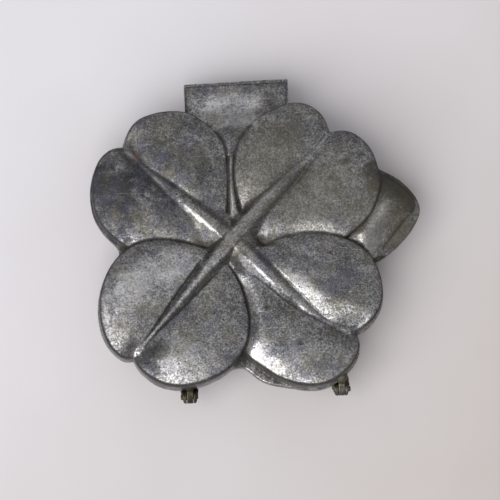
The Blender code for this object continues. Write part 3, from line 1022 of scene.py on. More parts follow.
    @cached_property
    def stack(self) -> Array:
        """Every layer of the plan.

        Returns:
            The layers over the raster, one behind the other, in the order of maps.
        """
        x, y = PLAN.points()
        ripple, scuff = self.ripple.at(x, y), self.scuff.at(x, y)
        layers = {}
        for leaf in LEAVES:
            layers["wall_" + leaf.name] = plan_outlines()[leaf.name] + ripple
            layers["top_" + leaf.name] = self.leaf_top(leaf)
        layers["rib"] = scuff + np.maximum.reduce([self.rib_top(leaf) for leaf in LEAVES])
        side, along = line_distance(x, y, smooth_line(self.strip, 1.0, 2))
        least, more = self.strip_halves
        half = least + more * smoothstep(-y, *self.strip_widens)
        dip = self.strip_dip * smoothstep(-along, -self.strip_dip_length, 0.0)
        crest = self.strip_top - dip + scuff
        beyond = np.hypot(np.maximum(side - half, 0.0), self.strip_round) - self.strip_round
        layers["strip"] = crest - self.strip_slope * beyond
        layers["web"] = np.hypot(x, y) - self.web_radius
        # This layer paints shade on the ribs' flanks.
        layers["dirt"] = np.maximum.reduce([self.rib_dirt(leaf) for leaf in LEAVES])
        hump = outline_distance(x, y, smooth_line(self.hump, 0.7, 3))
        layers["hump"] = hump + ripple
        fall = self.pillow(hump, self.hump_top - self.hump_edge, self.hump_reach, self.hump_creases)
        layers["hump_top"] = self.hump_top - fall + scuff
        return np.stack([layers[name] for name in self.maps], axis=-1).astype(np.float32)

    def field(self, plan: Array, z: Array, shrink: float = 0.0, drop: float = 0.0) -> Array:
        """The whole relief.

        Args:
            plan: The plan layers at the points.
            z: Height above the parting plane.
            shrink: How far every wall is moved inwards.
            drop: How far every top is lowered.

        Returns:
            The field, negative inside.
        """
        at = self.maps
        body = rounded_max(plan[..., at["web"]] + shrink, z - self.web_top + drop, self.web_round)
        for leaf in LEAVES:
            side = plan[..., at["wall_" + leaf.name]] + shrink + self.draft * (z - self.pivot)
            top = z - plan[..., at["top_" + leaf.name]] + drop
            body = rounded_min(body, rounded_max(side, top, self.shoulder), self.leaf_fillet)
        side = plan[..., at["hump"]] + shrink + self.draft * (z - self.pivot)
        hump = rounded_max(side, z - plan[..., at["hump_top"]] + drop, self.hump_round)
        body = rounded_min(body, hump, self.low_fillet)
        if self.half is Half.FRONT:
            # A height over a slope is longer than the distance to it, so it is scaled down.
            rib, strip = (z - plan[..., at[name]] for name in ("rib", "strip"))
            body = rounded_min(body, self.rib_scale * (rib + drop), self.rib_fillet)
            if not drop:
                body = rounded_min(body, self.strip_scale * strip, self.low_fillet)
        return body

    def edge_line(self, plan: Array, z: Array) -> Array:
        """Strength of the dark line along the leaves' shoulders, painted shade with old dirt.

        Args:
            plan: The plan layers at the points.
            z: Height above the parting plane.

        Returns:
            One value from 0 to 1 for each point.
        """
        line = np.zeros(len(plan))
        clear = smoothstep(z - plan[:, self.maps["rib"]], *self.edge_clears)
        for leaf in LEAVES:
            wall = plan[:, self.maps["wall_" + leaf.name]]
            band = smoothstep(wall, *self.edge_inner)
            for name in leaf.under:
                band = band * smoothstep(plan[:, self.maps["wall_" + name]], *self.edge_under)
            line = np.maximum(line, band * smoothstep(-wall, *self.edge_outer))
        return line * clear


# The last layers of a casting's stack, after those of its relief.
RIM, TAB, TAB_TOP = -3, -2, -1


@dataclass
class HalfShell:
    """One hollow casting: the relief, its flat rim, its lift tab and the hollow behind them.

    Attributes:
        half: Which casting it is.
        step: Distance between the mesh's sample points.
        rim_height: Height of the rim's ledge above the parting plane.
        rim_out: How far the ledge stands out beyond the leaves.
        rim_round: Radius of its outer edge.
        rim_fillet: Fillet where the leaves stand on it.
        face_gap: How far the rim's joint face lies from the parting plane.
        face_round: Radius of that face's edges.
        wall: Thickness of the casting.
        hollow_round: Radius of the hollow's edge.
        gap_radius: Outline of the ledge in the gaps between the leaves.
        leaf_blend: Fillet of its outline between two leaves.
        foot_blend: Fillet of its outline beside the stem.
        south_web: Centre, radius and blend of the ledge between the two lower leaves.
        south_ledge: The same of the wider ledge below the lower right leaf.
        tucks: Where the ledge draws in: plan place, reach and depth.
        inset: How far the whole ledge stays back.
        stem_foot: Outline of the ledge round the stem.
        tab: The lift tab's corners.
        tab_top: Thickness of the tab above the parting plane.
        tab_rise: How far the tab's face climbs towards the middle.
        tab_slope: Distances from the middle between which it climbs.
        tab_round: Radius of the tab's edges.
        tab_fillet: Fillet where it meets the rim.
        rim_swells: Unevenness of the rim's outline.
        tab_swells: Unevenness of the tab's edges.
        face_swells: Unevenness of its face.
        walls_clean: Heights between which the line of painted shade and dirt on the walls grows to its full
            strength.
        low_dirt: Its share below them, and how much more it is above.
        edge_grime: How dark the painted shade and dirt along the shoulders are.
        edge_stain: How far that painted shade and dirt darken the metal beside it.
        rib_stain: How far the painted shade on the ribs' flanks darkens the metal.
        rim_stain: How far the rim is stained along the tab's edge.
        rim_stain_width: Distances from that edge between which the stain sets in.
        near_hollow: How far from the hollow's surface a point of the mesh still counts as inside.
    """

    half: Half
    step: Triple = (0.36, 0.36, 0.4)
    rim_height: float = 3.0
    rim_out: float = 0.7
    rim_round: float = 0.45
    rim_fillet: float = 0.3
    face_gap: float = 0.15
    face_round: float = 0.3
    wall: float = 2.3
    hollow_round: float = 0.4
    gap_radius: float = 35.2
    leaf_blend: float = 2.0
    foot_blend: float = 0.5
    south_web: tuple[float, float, float, float] = (2.2, -30.0, 9.3, 5.0)
    south_ledge: tuple[float, float, float, float] = (14.3, -31.3, 14.9, 1.5)
    tucks: tuple[tuple[float, float, float, float], ...] = (
        (-34.0, -37.0, 7.0, 1.5), (-3.0, -41.5, 6.5, 1.3), (-17.0, -46.0, 8.0, 0.5),
    )
    inset: float = 0.0
    stem_foot: Line = (
        (38.0, 27.5), (44.0, 25.3), (49.6, 22.2), (54.9, 19.1), (58.6, 15.0), (60.9, 11.3),
        (61.4, 8.2), (60.2, 5.0), (57.6, 1.2), (53.1, -3.4), (48.6, -6.8), (45.2, -8.4),
        (40.0, -9.5), (34.0, 0.0), (34.0, 18.0), (38.0, 27.5),
    )
    tab: Line = ((-12.6, 28.0), (19.4, 28.0), (21.2, 53.3), (-12.2, 53.1))
    tab_top: float = 3.0
    tab_rise: float = 5.3
    tab_slope: Point = (32.0, 46.5)
    tab_round: float = 0.5
    tab_fillet: float = 0.25
    rim_swells: Swells = Swells(0.06, 5.0, 8)
    tab_swells: Swells = Swells(0.1, 4.0, 9)
    face_swells: Swells = Swells(0.06, 5.0, 10)
    walls_clean: Point = (5.0, 8.5)
    low_dirt: Point = (0.3, 0.7)
    edge_grime: float = 0.55
    edge_stain: float = 0.9
    rib_stain: float = 0.75
    rim_stain: float = 0.9
    rim_stain_width: Point = (-0.8, -0.35)
    near_hollow: float = 0.6

    @cached_property
    def relief(self) -> CloverRelief:
        """The raised clover on this casting."""
        back = {} if self.half is Half.FRONT else {"draft": 0.26, "pivot": 0.0}
        return CloverRelief(self.half, **back)

    @cached_property
    def layers(self) -> Array:
        """The relief's plan layers with the rim's and the tab's after them.

        Returns:
            The layers over the raster, one behind the other.
        """
        x, y = PLAN.points()
        relief = self.relief
        rim = np.hypot(x, y) - self.gap_radius
        for leaf in LEAVES:
            rim = rounded_min(rim, plan_outlines()[leaf.name] - self.rim_out, self.leaf_blend)
        for centre_x, centre_y, radius, blend in (self.south_web, self.south_ledge):
            rim = rounded_min(rim, np.hypot(x - centre_x, y - centre_y) - radius, blend)
        for centre_x, centre_y, reach, depth in self.tucks:
            rim = rim + depth * np.exp(-((x - centre_x) ** 2 + (y - centre_y) ** 2) / reach**2)
        foot = outline_distance(x, y, smooth_line(self.stem_foot, 0.7, 3)) + self.inset
        rim = rounded_min(rim + self.inset, foot, self.foot_blend) + self.rim_swells.at(x, y)
        tab = outline_distance(x, y, np.array((*self.tab, self.tab[0]))) + self.tab_swells.at(x, y)
        near, far = self.tab_slope
        top = self.tab_top + self.tab_rise * smoothstep(-y, -far, -near) + self.face_swells.at(x, y)
        extra = np.stack([rim, tab, top], axis=-1).astype(np.float32)
        return np.concatenate([relief.stack, extra], axis=-1)

    def field(self, x: Array, y: Array, z: Array) -> Array:
        """The casting above its parting plane at zero.

        Args:
            x: Place in mm to the right of the crossing.
            y: Place towards the tab.
            z: Height above the parting plane.

        Returns:
            The field, negative in the metal.
        """
        plan = PLAN.read(self.layers, x, y)
        relief = self.relief
        rim = rounded_max(plan[..., RIM], z - self.rim_height, self.rim_round)
        body = rounded_min(relief.field(plan, z), rim, self.rim_fillet)
        slab = rounded_max(plan[..., TAB], z - plan[..., TAB_TOP], self.tab_round)
        body = rounded_min(body, slab, self.tab_fillet)
        hollow = relief.field(plan, z, self.wall, self.wall)
        body = rounded_max(body, -hollow, self.hollow_round)
        return rounded_max(body, self.face_gap - z, self.face_round)

    def mark_spots(self, obj: bpy.types.Object, origin: Triple) -> None:
        """Keeps the inside, and the front's stains, rubbed spots, painted highlights and painted shade, as
        attributes.

        Args:
            obj: The meshed casting.
            origin: World place of the field's origin, in mm.
        """
        x, y, z = mesh_points(obj, origin).T
        up = self.half.up
        plan = PLAN.read(self.layers, x, y)
        hollow = np.abs(self.relief.field(plan, z * up, self.wall, self.wall))
        outside = np.abs(rounded_min(self.relief.field(plan, z * up), plan[..., RIM], self.rim_fillet))
        inner = (hollow < self.near_hollow) & (hollow < outside)
        paint(obj, "inner", inner)
        normals = np.empty(3 * len(x))
        obj.data.vertex_normals.foreach_get("vector", normals)
        paint(obj, "upward", np.abs(normals[2::3]))
        marks = {mark: np.zeros(len(x)) for mark in Mark}
        marks[Mark.GRIME] = read_paint(obj, Mark.GRIME.value)
        if self.half is Half.FRONT:
            # Painted shade, with old dirt, lies along the shoulders and on the ribs' flanks, and thins out
            # down the walls.
            least, more = self.low_dirt
            edge = self.relief.edge_line(plan, z)
            lower = least + more * smoothstep(z, *self.walls_clean)
            grime = self.edge_grime * lower * edge**2 * (z > self.rim_height + 0.4) * ~inner
            marks[Mark.GRIME] = np.maximum(marks[Mark.GRIME], grime)
            by_ribs = self.rib_stain * plan[:, self.relief.maps["dirt"]]
            line = np.maximum(self.edge_stain * lower * edge, by_ribs)
            rim = self.rim_stain * smoothstep(-np.abs(plan[:, TAB]), *self.rim_stain_width)
            above = z > self.tab_top + 1.5
            marks[Mark.STAIN] = np.where(above, line, rim) * ~inner
            for mark, spots in FRONT_SPOTS.items():
                for spot in spots:
                    amount = Spot(*spot).amount(x, y) * (z > self.tab_top - 0.5) * ~inner
                    marks[mark] = np.maximum(marks[mark], amount)
        for mark, total in marks.items():
            paint(obj, mark.value, total)

    def build(self, origin: Triple) -> bpy.types.Object:
        """Meshes the casting in place and lets it ride on its body.

        Args:
            origin: World place of the field's origin, in mm.

        Returns:
            The casting.
        """
        up = self.half.up
        field = turned(self.field, 1.0, up)
        step = self.step
        grid = Grid.facing(up, (-46.5, -51.0, -0.7), (63.8, 57.0, 12.9), step)
        obj = make_mesh(self.half.value + "_shell_casting", field, grid, origin)
        mark_wear(obj, field, origin, (0.7, 1.5, 3.0))
        self.mark_spots(obj, origin)
        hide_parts(self.half.value + "_shell")
        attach(obj, self.half.value + "_half")
        return obj


def both_shells() -> tuple[HalfShell, HalfShell]:
    """The front casting, and the back one whose tab reaches a little further."""
    back_tab = ((-12.4, 28.0), (20.6, 28.0), (21.8, 55.2), (-12.3, 54.8))
    return HalfShell(Half.FRONT), HalfShell(Half.BACK, (0.5, 0.5, 0.55), inset=1.4, tab=back_tab)


# The hinge


class Side(Enum):
    """The two hinge points, by the world x of their middle in mm."""

    LEFT = -24.15
    RIGHT = 23.65

    @property
    def word(self) -> str:
        """The side's name as the frame's nodes spell it."""
        return self.name.lower()

    @property
    def origin(self) -> Triple:
        """World place of the hinge point, in mm."""
        return (self.value, *HINGE_LINE)


@dataclass
class HingeLug:
    """One soldered-on hinge lug: rounded ears round the axis, an arm to the rim and its solder.

    Attributes:
        half: The casting that it is soldered to.
        side: Which hinge point it belongs to.
        knuckle_radius: Radius of the ears round the axis.
        bore_radius: Radius of the hole for the pin.
        front_ears: Middle and half width along the hinge line of the front lug's one ear.
        back_ears: The same of the back lug's two ears.
        arm_start: Where the arm starts, from the axis towards the clover and away from the joint face.
        arm_end: Where it ends.
        arm_half: Half its thickness.
        arm_fillet: Fillet between the arm and the ears.
        bridge_start: Where the plate that joins the back ears starts.
        bridge_size: Half its width and half its thickness.
        tip_half: Half width at the outer tip.
        taper: How much the half width grows per mm towards the rim.
        edge_round: Radius of the worn edges.
        solder: Half sizes of the lump of solder along, towards and away from the joint face.
        lumps: Broad and fine unevenness of the surface.
        step: Distance between the mesh's sample points.
        stain: How much darker, or lighter below zero, this lug is.
    """

    half: Half
    side: Side
    knuckle_radius: float = 2.05
    bore_radius: float = 0.95
    front_ears: Line = ((0.0, 1.0),)
    back_ears: Line = ((-1.83, 0.72), (1.83, 0.72))
    arm_start: Point = (0.4, 0.6)
    arm_end: Point = (3.6, 3.3)
    arm_half: float = 0.9
    arm_fillet: float = 0.9
    bridge_start: Point = (1.2, 3.6)
    bridge_size: Point = (2.8, 0.8)
    tip_half: float = 1.9
    taper: float = 0.28
    edge_round: float = 0.1
    solder: Triple = (2.1, 1.7, 1.2)
    lumps: tuple[Swells, Swells] = (Swells(0.05, 1.3, 21), Swells(0.015, 0.5, 22))
    step: float = 0.15
    stain: float = 0.0

    def field(self, x: Array, y: Array, z: Array) -> Array:
        """The lug about its hinge point.

        Args:
            x: Place in mm along the hinge line.
            y: Place towards the clover.
            z: Place away from the joint face.

        Returns:
            The field, negative inside.
        """
        end_y, end_z = self.arm_end
        knuckle = np.hypot(y, z) - self.knuckle_radius
        arm, _ = line_distance(y, z, np.array((self.arm_start, self.arm_end)))
        profile = rounded_min(knuckle, arm - self.arm_half, self.arm_fillet)
        ears = self.front_ears if self.half is Half.FRONT else self.back_ears
        body = np.minimum.reduce(
            [rounded_max(np.abs(x - middle) - half, profile, self.edge_round) for middle, half in ears]
        )
        if self.half is Half.BACK:
            half_width, half_thick = self.bridge_size
            bridge, _ = line_distance(y, z, np.array((self.bridge_start, self.arm_end)))
            plate = rounded_max(np.abs(x) - half_width, bridge - half_thick, 0.5)
            body = rounded_min(body, plate, 0.5)
        long, deep, high = self.solder
        lump = np.sqrt((x / long) ** 2 + ((y - end_y) / deep) ** 2 + ((z - end_z + 0.3) / high) ** 2)
        body = rounded_min(body, (lump - 1.0) * high, 0.8)
        broad, fine = self.lumps
        body = body + (broad.at(x + 0.6 * z, y - 0.5 * z) + fine.at(x - z, y + z))
        half_width = self.tip_half + self.taper * (y + self.knuckle_radius)
        body = rounded_max(body, np.abs(x) - half_width, 0.45)
        return np.maximum(body, self.bore_radius - np.hypot(y, z))

    def build(self) -> bpy.types.Object:
        """Meshes the lug in place and lets it ride on its half.

        Returns:
            The lug.
        """
        up, origin = self.half.up, self.side.origin
        field = turned(self.field, 1.0, up)
        grid = Grid.facing(up, (-3.6, -3.0, -3.0), (3.6, 6.2, 5.4), (self.step,) * 3)
        node = f"{self.half.value}_hinge_lug_{self.side.word}"
        obj = make_mesh(node + "_casting", field, grid, origin)
        mark_wear(obj, field, origin, (0.4, 0.9, 1.8))
        paint(obj, Mark.STAIN.value, np.full(len(obj.data.vertices), self.stain))
        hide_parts(node)
        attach(obj, self.half.value + "_half")
        return obj


@dataclass
class HingePin:
    """One loose wire pin with a flattened head at its outer end, in mm from the hinge point.

    Attributes:
        side: Which hinge point it belongs to.
        radius: Radius of the wire.
        head_radius: Radius of the head.
        head_low: Where the head starts.
        head_high: Where it ends.
        tail: Where the wire's other end lies.
        worn: Unevenness of the wire.
        edge_round: Radius of the edges of both ends.
        step: Distance between the mesh's sample points.
    """

    side: Side
    radius: float = 0.8
    head_radius: float = 0.92
    head_low: float = 2.55
    head_high: float = 2.85
    tail: float = -2.6
    worn: Swells = Swells(0.03, 0.6, 31)
    edge_round: float = 0.3
    step: float = 0.15

    def field(self, x: Array, y: Array, z: Array) -> Array:
        """The pin about its hinge point.

        Args:
            x: Place in mm along the hinge line, towards the head.
            y: Place across it.
            z: Height above it.

        Returns:
            The field, negative inside.
        """
        across = np.hypot(y, z) + self.worn.at(x + y, z - y)
        rods = []
        for radius, low, high in (
            (self.radius, self.tail, self.head_high), (self.head_radius, self.head_low, self.head_high),
        ):
            ends = np.abs(x - (low + high) / 2) - (high - low) / 2
            rods.append(rounded_max(across - radius, ends, self.edge_round))
        return rounded_min(*rods, 0.2)

    def build(self) -> bpy.types.Object:
        """Meshes the pin in its bore and lets it ride on its own body.

        Returns:
            The pin.
        """
        origin = self.side.origin
        field = turned(self.field, math.copysign(1.0, self.side.value), 1.0)
        grid = Grid((-4.4, -1.9, -1.9), (4.4, 1.9, 1.9), (self.step,) * 3)
        node = "hinge_pin_" + self.side.word
        obj = make_mesh(node + "_wire", field, grid, origin)
        mark_wear(obj, field, origin, (0.3, 0.6))
        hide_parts(node)
        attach(obj, "pin_" + self.side.word)
        return obj


# Finishes

# Range that most of a noise's values lie in, and the share that each finer layer of it keeps.
USUAL = (0.3, 0.7)
ROUGH = {"Roughness": 0.6}


def linear(colour: str) -> Colour:
    """Turns an sRGB colour to linear.

    Args:
        colour: Six hex digits.

    Returns:
        Linear red, green and blue, and an alpha of one.
    """
    parts = [int(colour[i : i + 2], 16) / 255 for i in (0, 2, 4)]
    red, green, blue = (c / 12.92 if c <= 0.04045 else ((c + 0.055) / 1.055) ** 2.4 for c in parts)
    return red, green, blue, 1.0


def per_size(size: float) -> float:
    """Texture scale whose pattern repeats about once in that many mm."""
    return 1.0 / (size * MM)


class NodeTree:
    """The nodes of a new material or of the world."""

    def __init__(self, owner: bpy.types.Material | bpy.types.World) -> None:
        """Empties the tree.

        Args:
            owner: The material or world that the tree belongs to.
        """
        owner.use_nodes = True
        self.tree = owner.node_tree
        self.tree.nodes.clear()

    def add(self, kind: str, inputs: Inputs = (), out: int | str = 0, **settings: object) -> Socket | None:
        """Adds a node with its settings and links.

        Args:
            kind: The node's type, after the words ShaderNode.
            inputs: Sockets to link or plain values to set, in order, or by input name or number.
            out: Name or number of the output to return.
            **settings: The node's own properties.

        Returns:
            That output, or None for a node that has none.
        """
        node = self.tree.nodes.new("ShaderNode" + kind)
        for key, value in settings.items():
            setattr(node, key, value)
        for key, value in inputs.items() if isinstance(inputs, dict) else enumerate(inputs):
            if isinstance(value, bpy.types.NodeSocket):
                self.tree.links.new(value, node.inputs[key])
            else:
                node.inputs[key].default_value = value
        return node.outputs[out] if node.outputs else None


@dataclass(frozen=True)
class Finish(ABC):
    """A finish that is worked out as the inputs of one principled shader.

    Attributes:
        name: Name of the material.
    """

    name: str

    @abstractmethod
    def surface(self, add: Callable[..., Socket], place: Socket) -> dict[str, object]:
        """Adds the finish's nodes.

        Args:
            add: Adds one node to the material's tree.
            place: The coordinates of the surface.

        Returns:
            The shader's inputs by name.
        """

    def material(self) -> bpy.types.Material:
        """Builds the material.

        Returns:
            The new material.
        """
        material = bpy.data.materials.new(self.name)
        add = NodeTree(material).add
        inputs = self.surface(add, add("TexCoord", out="Object"))
        add("OutputMaterial", (add("BsdfPrincipled", inputs),))
        return material


@dataclass(frozen=True)
class PewterFinish(Finish):
    """Old cast pewter: a dull grey metal, mottled dark with tarnish and bright where it is rubbed, with
    painted shade and painted highlights laid in as well.

    Attributes:
        bright: Colour of rubbed metal and of painted highlights.
        middle: Colour of the usual grey skin.
        dark: Colour of the heaviest tarnish.
        violet: Colour that thin oxide leans to in patches.
        olive: Colour that it leans to elsewhere.
        grime: Colour of the dirt and of the painted shade in corners.
        rust: Colour of the one rusty spot.
        tarnish: Mean share of tarnish, from 0 to 1.
        grime_share: How strongly dirt and painted shade show in corners.
        roughness: Roughness of the grey skin.
        cloud: Size of the broad tarnish clouds, in mm.
        mottle: Size of the mottling.
        grain: Size of the casting's grain.
        speck: Size of the flecks between the grain and the mottling.
        rubbing: Size of the flecks that rubbed spots and painted highlights break up in.
        cast: Size of the violet and olive patches.
        pit: Mean distance between pits.
        strokes: Bearing in degrees, width in mm and share of each set of scratches.
        stroke_shape: How much a pattern is drawn out along, across and down to read as scratches.
        fleck_shares: How much the specks and the grain change the tarnish.
        cloud_swing: How far the clouds shift the tarnish to either side.
        mottle_swing: How far the mottling does.
        stain_share: How much stains and painted shade add to the tarnish.
        rub_share: How much rubbing and painted highlights take off it.
        edge_share: How much wear takes off it at edges.
        inside_share: How much less there is in the hollow.
        line_share: How much a scratch takes off it.
        pit_share: How much a pit adds to it.
        bumps: How far each pattern raises the surface, as a share of the relief.
        pit_edge: Distances from a pit's middle between which it fades, as shares of its size.
        pit_chance: Where in the chances from 0 to 1 the pits that are kept begin.
        grime_range: Strengths of a corner's dirt and painted shade between which they come to cover the
            metal.
        grime_inside: Share of it that is left in the hollow.
        rust_range: Speck values between which rust breaks up.
        violet_range: Patch values between which the violet cast sets in.
        violet_share: How strong it gets.
        olive_range: Patch values between which the olive cast runs out.
        olive_share: How strong it is below them.
        dulling: How far bare metal is below and full tarnish above the skin's roughness.
        grime_dulling: How much dirt and painted shade add to the roughness.
        grime_cover: Share of the metal's look that dirt, painted shade and rust take away.
        relief: Height of the bumps, in mm.
    """

    bright: str = "dcdbdb"
    middle: str = "7c7b7b"
    dark: str = "47474a"
    violet: str = "5a5b70"
    olive: str = "77735a"
    grime: str = "2e2a24"
    rust: str = "4f3526"
    tarnish: float = 0.43
    grime_share: float = 1.0
    roughness: float = 0.36
    cloud: float = 15.0
    mottle: float = 3.4
    grain: float = 0.55
    speck: float = 1.1
    rubbing: float = 0.9
    cast: float = 6.0
    pit: float = 3.0
    strokes: tuple[Triple, ...] = ((38.0, 0.5, 0.33), (-24.0, 0.6, 0.32))
    stroke_shape: Triple = (0.045, 1.0, 0.3)
    fleck_shares: Point = (0.19, 0.36)
    cloud_swing: float = 0.15
    mottle_swing: float = 0.18
    stain_share: float = 0.55
    rub_share: float = 0.7
    edge_share: float = 0.35
    inside_share: float = 0.15
    line_share: float = 0.25
    pit_share: float = 0.7
    bumps: tuple[float, ...] = (0.22, 0.5, 0.3, -0.12, -0.9)
    pit_edge: Point = (0.05, 0.13)
    pit_chance: Point = (0.55, 0.6)
    grime_range: Point = (0.12, 0.62)
    grime_inside: float = 0.5
    rust_range: Point = (0.25, 0.55)
    violet_range: Point = (0.52, 0.66)
    violet_share: float = 0.3
    olive_range: Point = (0.34, 0.48)
    olive_share: float = 0.55
    dulling: Point = (0.06, 0.16)
    grime_dulling: float = 0.25
    grime_cover: float = 0.75
    relief: float = 0.08

    def surface(self, add: Callable[..., Socket], place: Socket) -> dict[str, object]:
        """Adds the pewter's nodes: a full metal but for its dirt and rust.

        Args:
            add: Adds one node to the material's tree.
            place: The coordinates of the surface.

        Returns:
            The shader's inputs by name.
        """
        words = [mark.value for mark in Mark] + ["wear", "inner", "upward"]
        marks = {word: add("Attribute", out="Fac", attribute_name=word) for word in words}
        # The real grain is about 0.2 mm, finer than a pixel of the photograph, so it is drawn coarser.
        patterns = [
            ("cloud", self.cloud, 2.0, place),
            ("mottle", self.mottle, 5.0, place),
            ("grain", self.grain, 3.0, place),
            ("speck", self.speck, 3.0, place),
            ("rubbing", self.rubbing, 4.0, place),
            ("cast", self.cast, 2.0, add("Mapping", {"Vector": place, "Location": (0.7, 0.3, 0.1)})),
        ]
        # Real scratches are a few hundredths of a millimetre wide, too fine to show, so these are wider.
        for bearing, width, _ in self.strokes:
            turn = (0.0, 0.0, math.radians(bearing))
            along = add("Mapping", {"Vector": place, "Rotation": turn, "Scale": self.stroke_shape})
            patterns.append((bearing, width, 2.0, along))
        noise = {
            name: add("TexNoise", {"Vector": where, "Scale": per_size(size), "Detail": detail, **ROUGH})
            for name, size, detail, where in patterns
        }
        lines = 0.0
        for bearing, _, share in self.strokes:
            scratches = add("MapRange", (noise[bearing], 1.0 - share, 1.03 - share))
            lines = add("Math", (lines, scratches), operation="MAXIMUM")
        pits = add("TexVoronoi", {"Vector": place, "Scale": per_size(self.pit)}, out="Distance")
        chance = add("SeparateColor", (pits.node.outputs["Color"],))
        rare = add("MapRange", (chance, *self.pit_chance))
        pit = add("MapRange", (pits, *self.pit_edge, 1.0, 0.0))
        pit = add("Math", (pit, rare), operation="MULTIPLY")

        # Tarnish gathers in clouds, blotches and stains, with painted shade among them, and is rubbed off
        # edges and high spots, where painted highlights also take it off.
        speck_share, grain_share = self.fleck_shares
        specks = add("MapRange", (noise["speck"], *USUAL, -speck_share, speck_share))
        grains = add("MapRange", (noise["grain"], *USUAL, -grain_share, grain_share))
        fleck = add("Math", (specks, grains), operation="ADD")
        # Flecks are weaker in stains and painted shade, and on the walls, which were never rubbed.
        under_stain_and_shade = add("MapRange", (marks["stain"], 0.0, 0.8, 1.0, 0.55))
        walls = add("MapRange", (marks["upward"], 0.2, 0.8, 0.45, 1.0))
        clear = add("Math", (under_stain_and_shade, walls), operation="MULTIPLY")
        # Bright marks are rubbed metal and painted highlights on slopes and edges that face the light.
        broken = add("MapRange", (noise["rubbing"], 0.35, 0.65, 0.6, 1.3))
        rubbed_and_highlit = add("Math", (marks["bright"], broken), operation="MULTIPLY")
        tarnish = self.tarnish
        for amount, share in (
            (add("MapRange", (noise["cloud"], *USUAL, -self.cloud_swing, self.cloud_swing)), 1.0),
            (add("MapRange", (noise["mottle"], *USUAL, -self.mottle_swing, self.mottle_swing)), 1.0),
            (fleck, clear),
            (marks["stain"], self.stain_share),
            (rubbed_and_highlit, -self.rub_share),
            (marks["wear"], -self.edge_share),
            (marks["inner"], -self.inside_share),
            (lines, -self.line_share),
            (pit, self.pit_share),
        ):
            tarnish = add("Math", (amount, share, tarnish), operation="MULTIPLY_ADD")

        # Corners get dirt and painted shade, in one dark colour that is no metal.
        corners = add("MapRange", (marks["grime"], *self.grime_range, 0.0, self.grime_share))
        patchy = add("MapRange", (noise["speck"], 0.2, 0.6, 0.65, 1.0))
        dirt = add("Math", (corners, patchy), operation="MULTIPLY")
        less_in_hollow = add("MapRange", (marks["inner"], 0.0, 1.0, 1.0, self.grime_inside))
        dirt = add("Math", (dirt, less_in_hollow), operation="MULTIPLY")
        rusty = add("MapRange", (noise["speck"], *self.rust_range))
        rusty = add("Math", (marks["rust"], rusty), operation="MULTIPLY")
        # Faint violet-blue and olive casts, as thin oxide gives.
        olive = add("MapRange", (noise["cast"], *self.olive_range, self.olive_share, 0.0))
        olive = add("Math", (olive, marks["olive"]), operation="MAXIMUM")
        colour = linear(self.bright)
        for share, other in (
            (add("MapRange", (tarnish, -0.4, 0.5)), self.middle),
            (add("MapRange", (tarnish, 0.5, 1.0)), self.dark),
            (add("MapRange", (noise["cast"], *self.violet_range, 0.0, self.violet_share)), self.violet),
            (add("Math", (olive, 0.5), operation="MULTIPLY"), self.olive),
            (dirt, self.grime),
            (rusty, self.rust),
        ):
            colour = add("Mix", {0: share, 6: colour, 7: linear(other)}, out=2, data_type="RGBA")

        # Tarnish and dirt are duller than the bare metal, and dirt and rust aren't metal; the painted shade
        # in corners goes with the dirt.
        glossy, dull = self.roughness - self.dulling[0], self.roughness + self.dulling[1]
        skin = add("MapRange", (tarnish, 0.0, 1.0, glossy, dull))
        dirt_and_shade_roughness = add("MapRange", (dirt, 0.0, 1.0, 0.0, self.grime_dulling))
        rough = add("Math", (skin, dirt_and_shade_roughness), operation="ADD")
        cover = add("Math", (dirt, marks["rust"]), operation="MAXIMUM")
        cover = add("Math", (cover, self.grime_cover), operation="MULTIPLY")
        metal = add("Math", (1.0, cover), operation="SUBTRACT")
        height = 0.0
        raised = (noise["grain"], noise["mottle"], noise["speck"], lines, pit)
        for pattern, share in zip(raised, self.bumps):
            height = add("Math", (pattern, share, height), operation="MULTIPLY_ADD")
        bump = add("Bump", {"Height": height, "Distance": self.relief * MM, "Strength": 1.0})
        return {"Base Color": colour, "Metallic": metal, "Roughness": rough, "Normal": bump}


@dataclass(frozen=True)
class WireFinish(Finish):
    """Old iron wire under a skin of dark brown oxide, dull and a little warm.

    Attributes:
        name: Name of the material.
        steel: Colour of the bare metal at worn places.
        oxide: Colour of the skin.
        roughness: Roughness of both.
        patch: Size of the patches of oxide, in mm.
        scale: Size of its flakes, in mm.
        relief: Height of the flakes, in mm.
    """

    name: str = "oxidised_iron_wire"
    steel: str = "615a51"
    oxide: str = "3b3229"
    roughness: float = 0.5
    patch: float = 0.7
    scale: float = 0.4
    relief: float = 0.05

    def surface(self, add: Callable[..., Socket], place: Socket) -> dict[str, object]:
        """Adds the wire's nodes: more of a metal where it is worn.

        Args:
            add: Adds one node to the material's tree.
            place: The coordinates of the surface.

        Returns:
            The shader's inputs by name.
        """
        patches, flakes = (
            add("TexNoise", {"Vector": place, "Scale": per_size(size), "Detail": detail, **ROUGH})
            for size, detail in ((self.patch, 4.0), (self.scale, 3.0))
        )
        wear = add("Attribute", out="Fac", attribute_name="wear")
        skin = add("Math", (wear, 0.6, add("MapRange", (patches, 0.35, 0.65))), operation="MULTIPLY_ADD")
        colours = {6: linear(self.oxide), 7: linear(self.steel)}
        colour = add("Mix", {0: skin, **colours}, out=2, data_type="RGBA")
        metal = add("MapRange", (skin, 0.0, 1.0, 0.35, 0.9))
        bump = add("Bump", {"Height": flakes, "Distance": self.relief * MM})
        return {"Base Color": colour, "Metallic": metal, "Roughness": self.roughness, "Normal": bump}


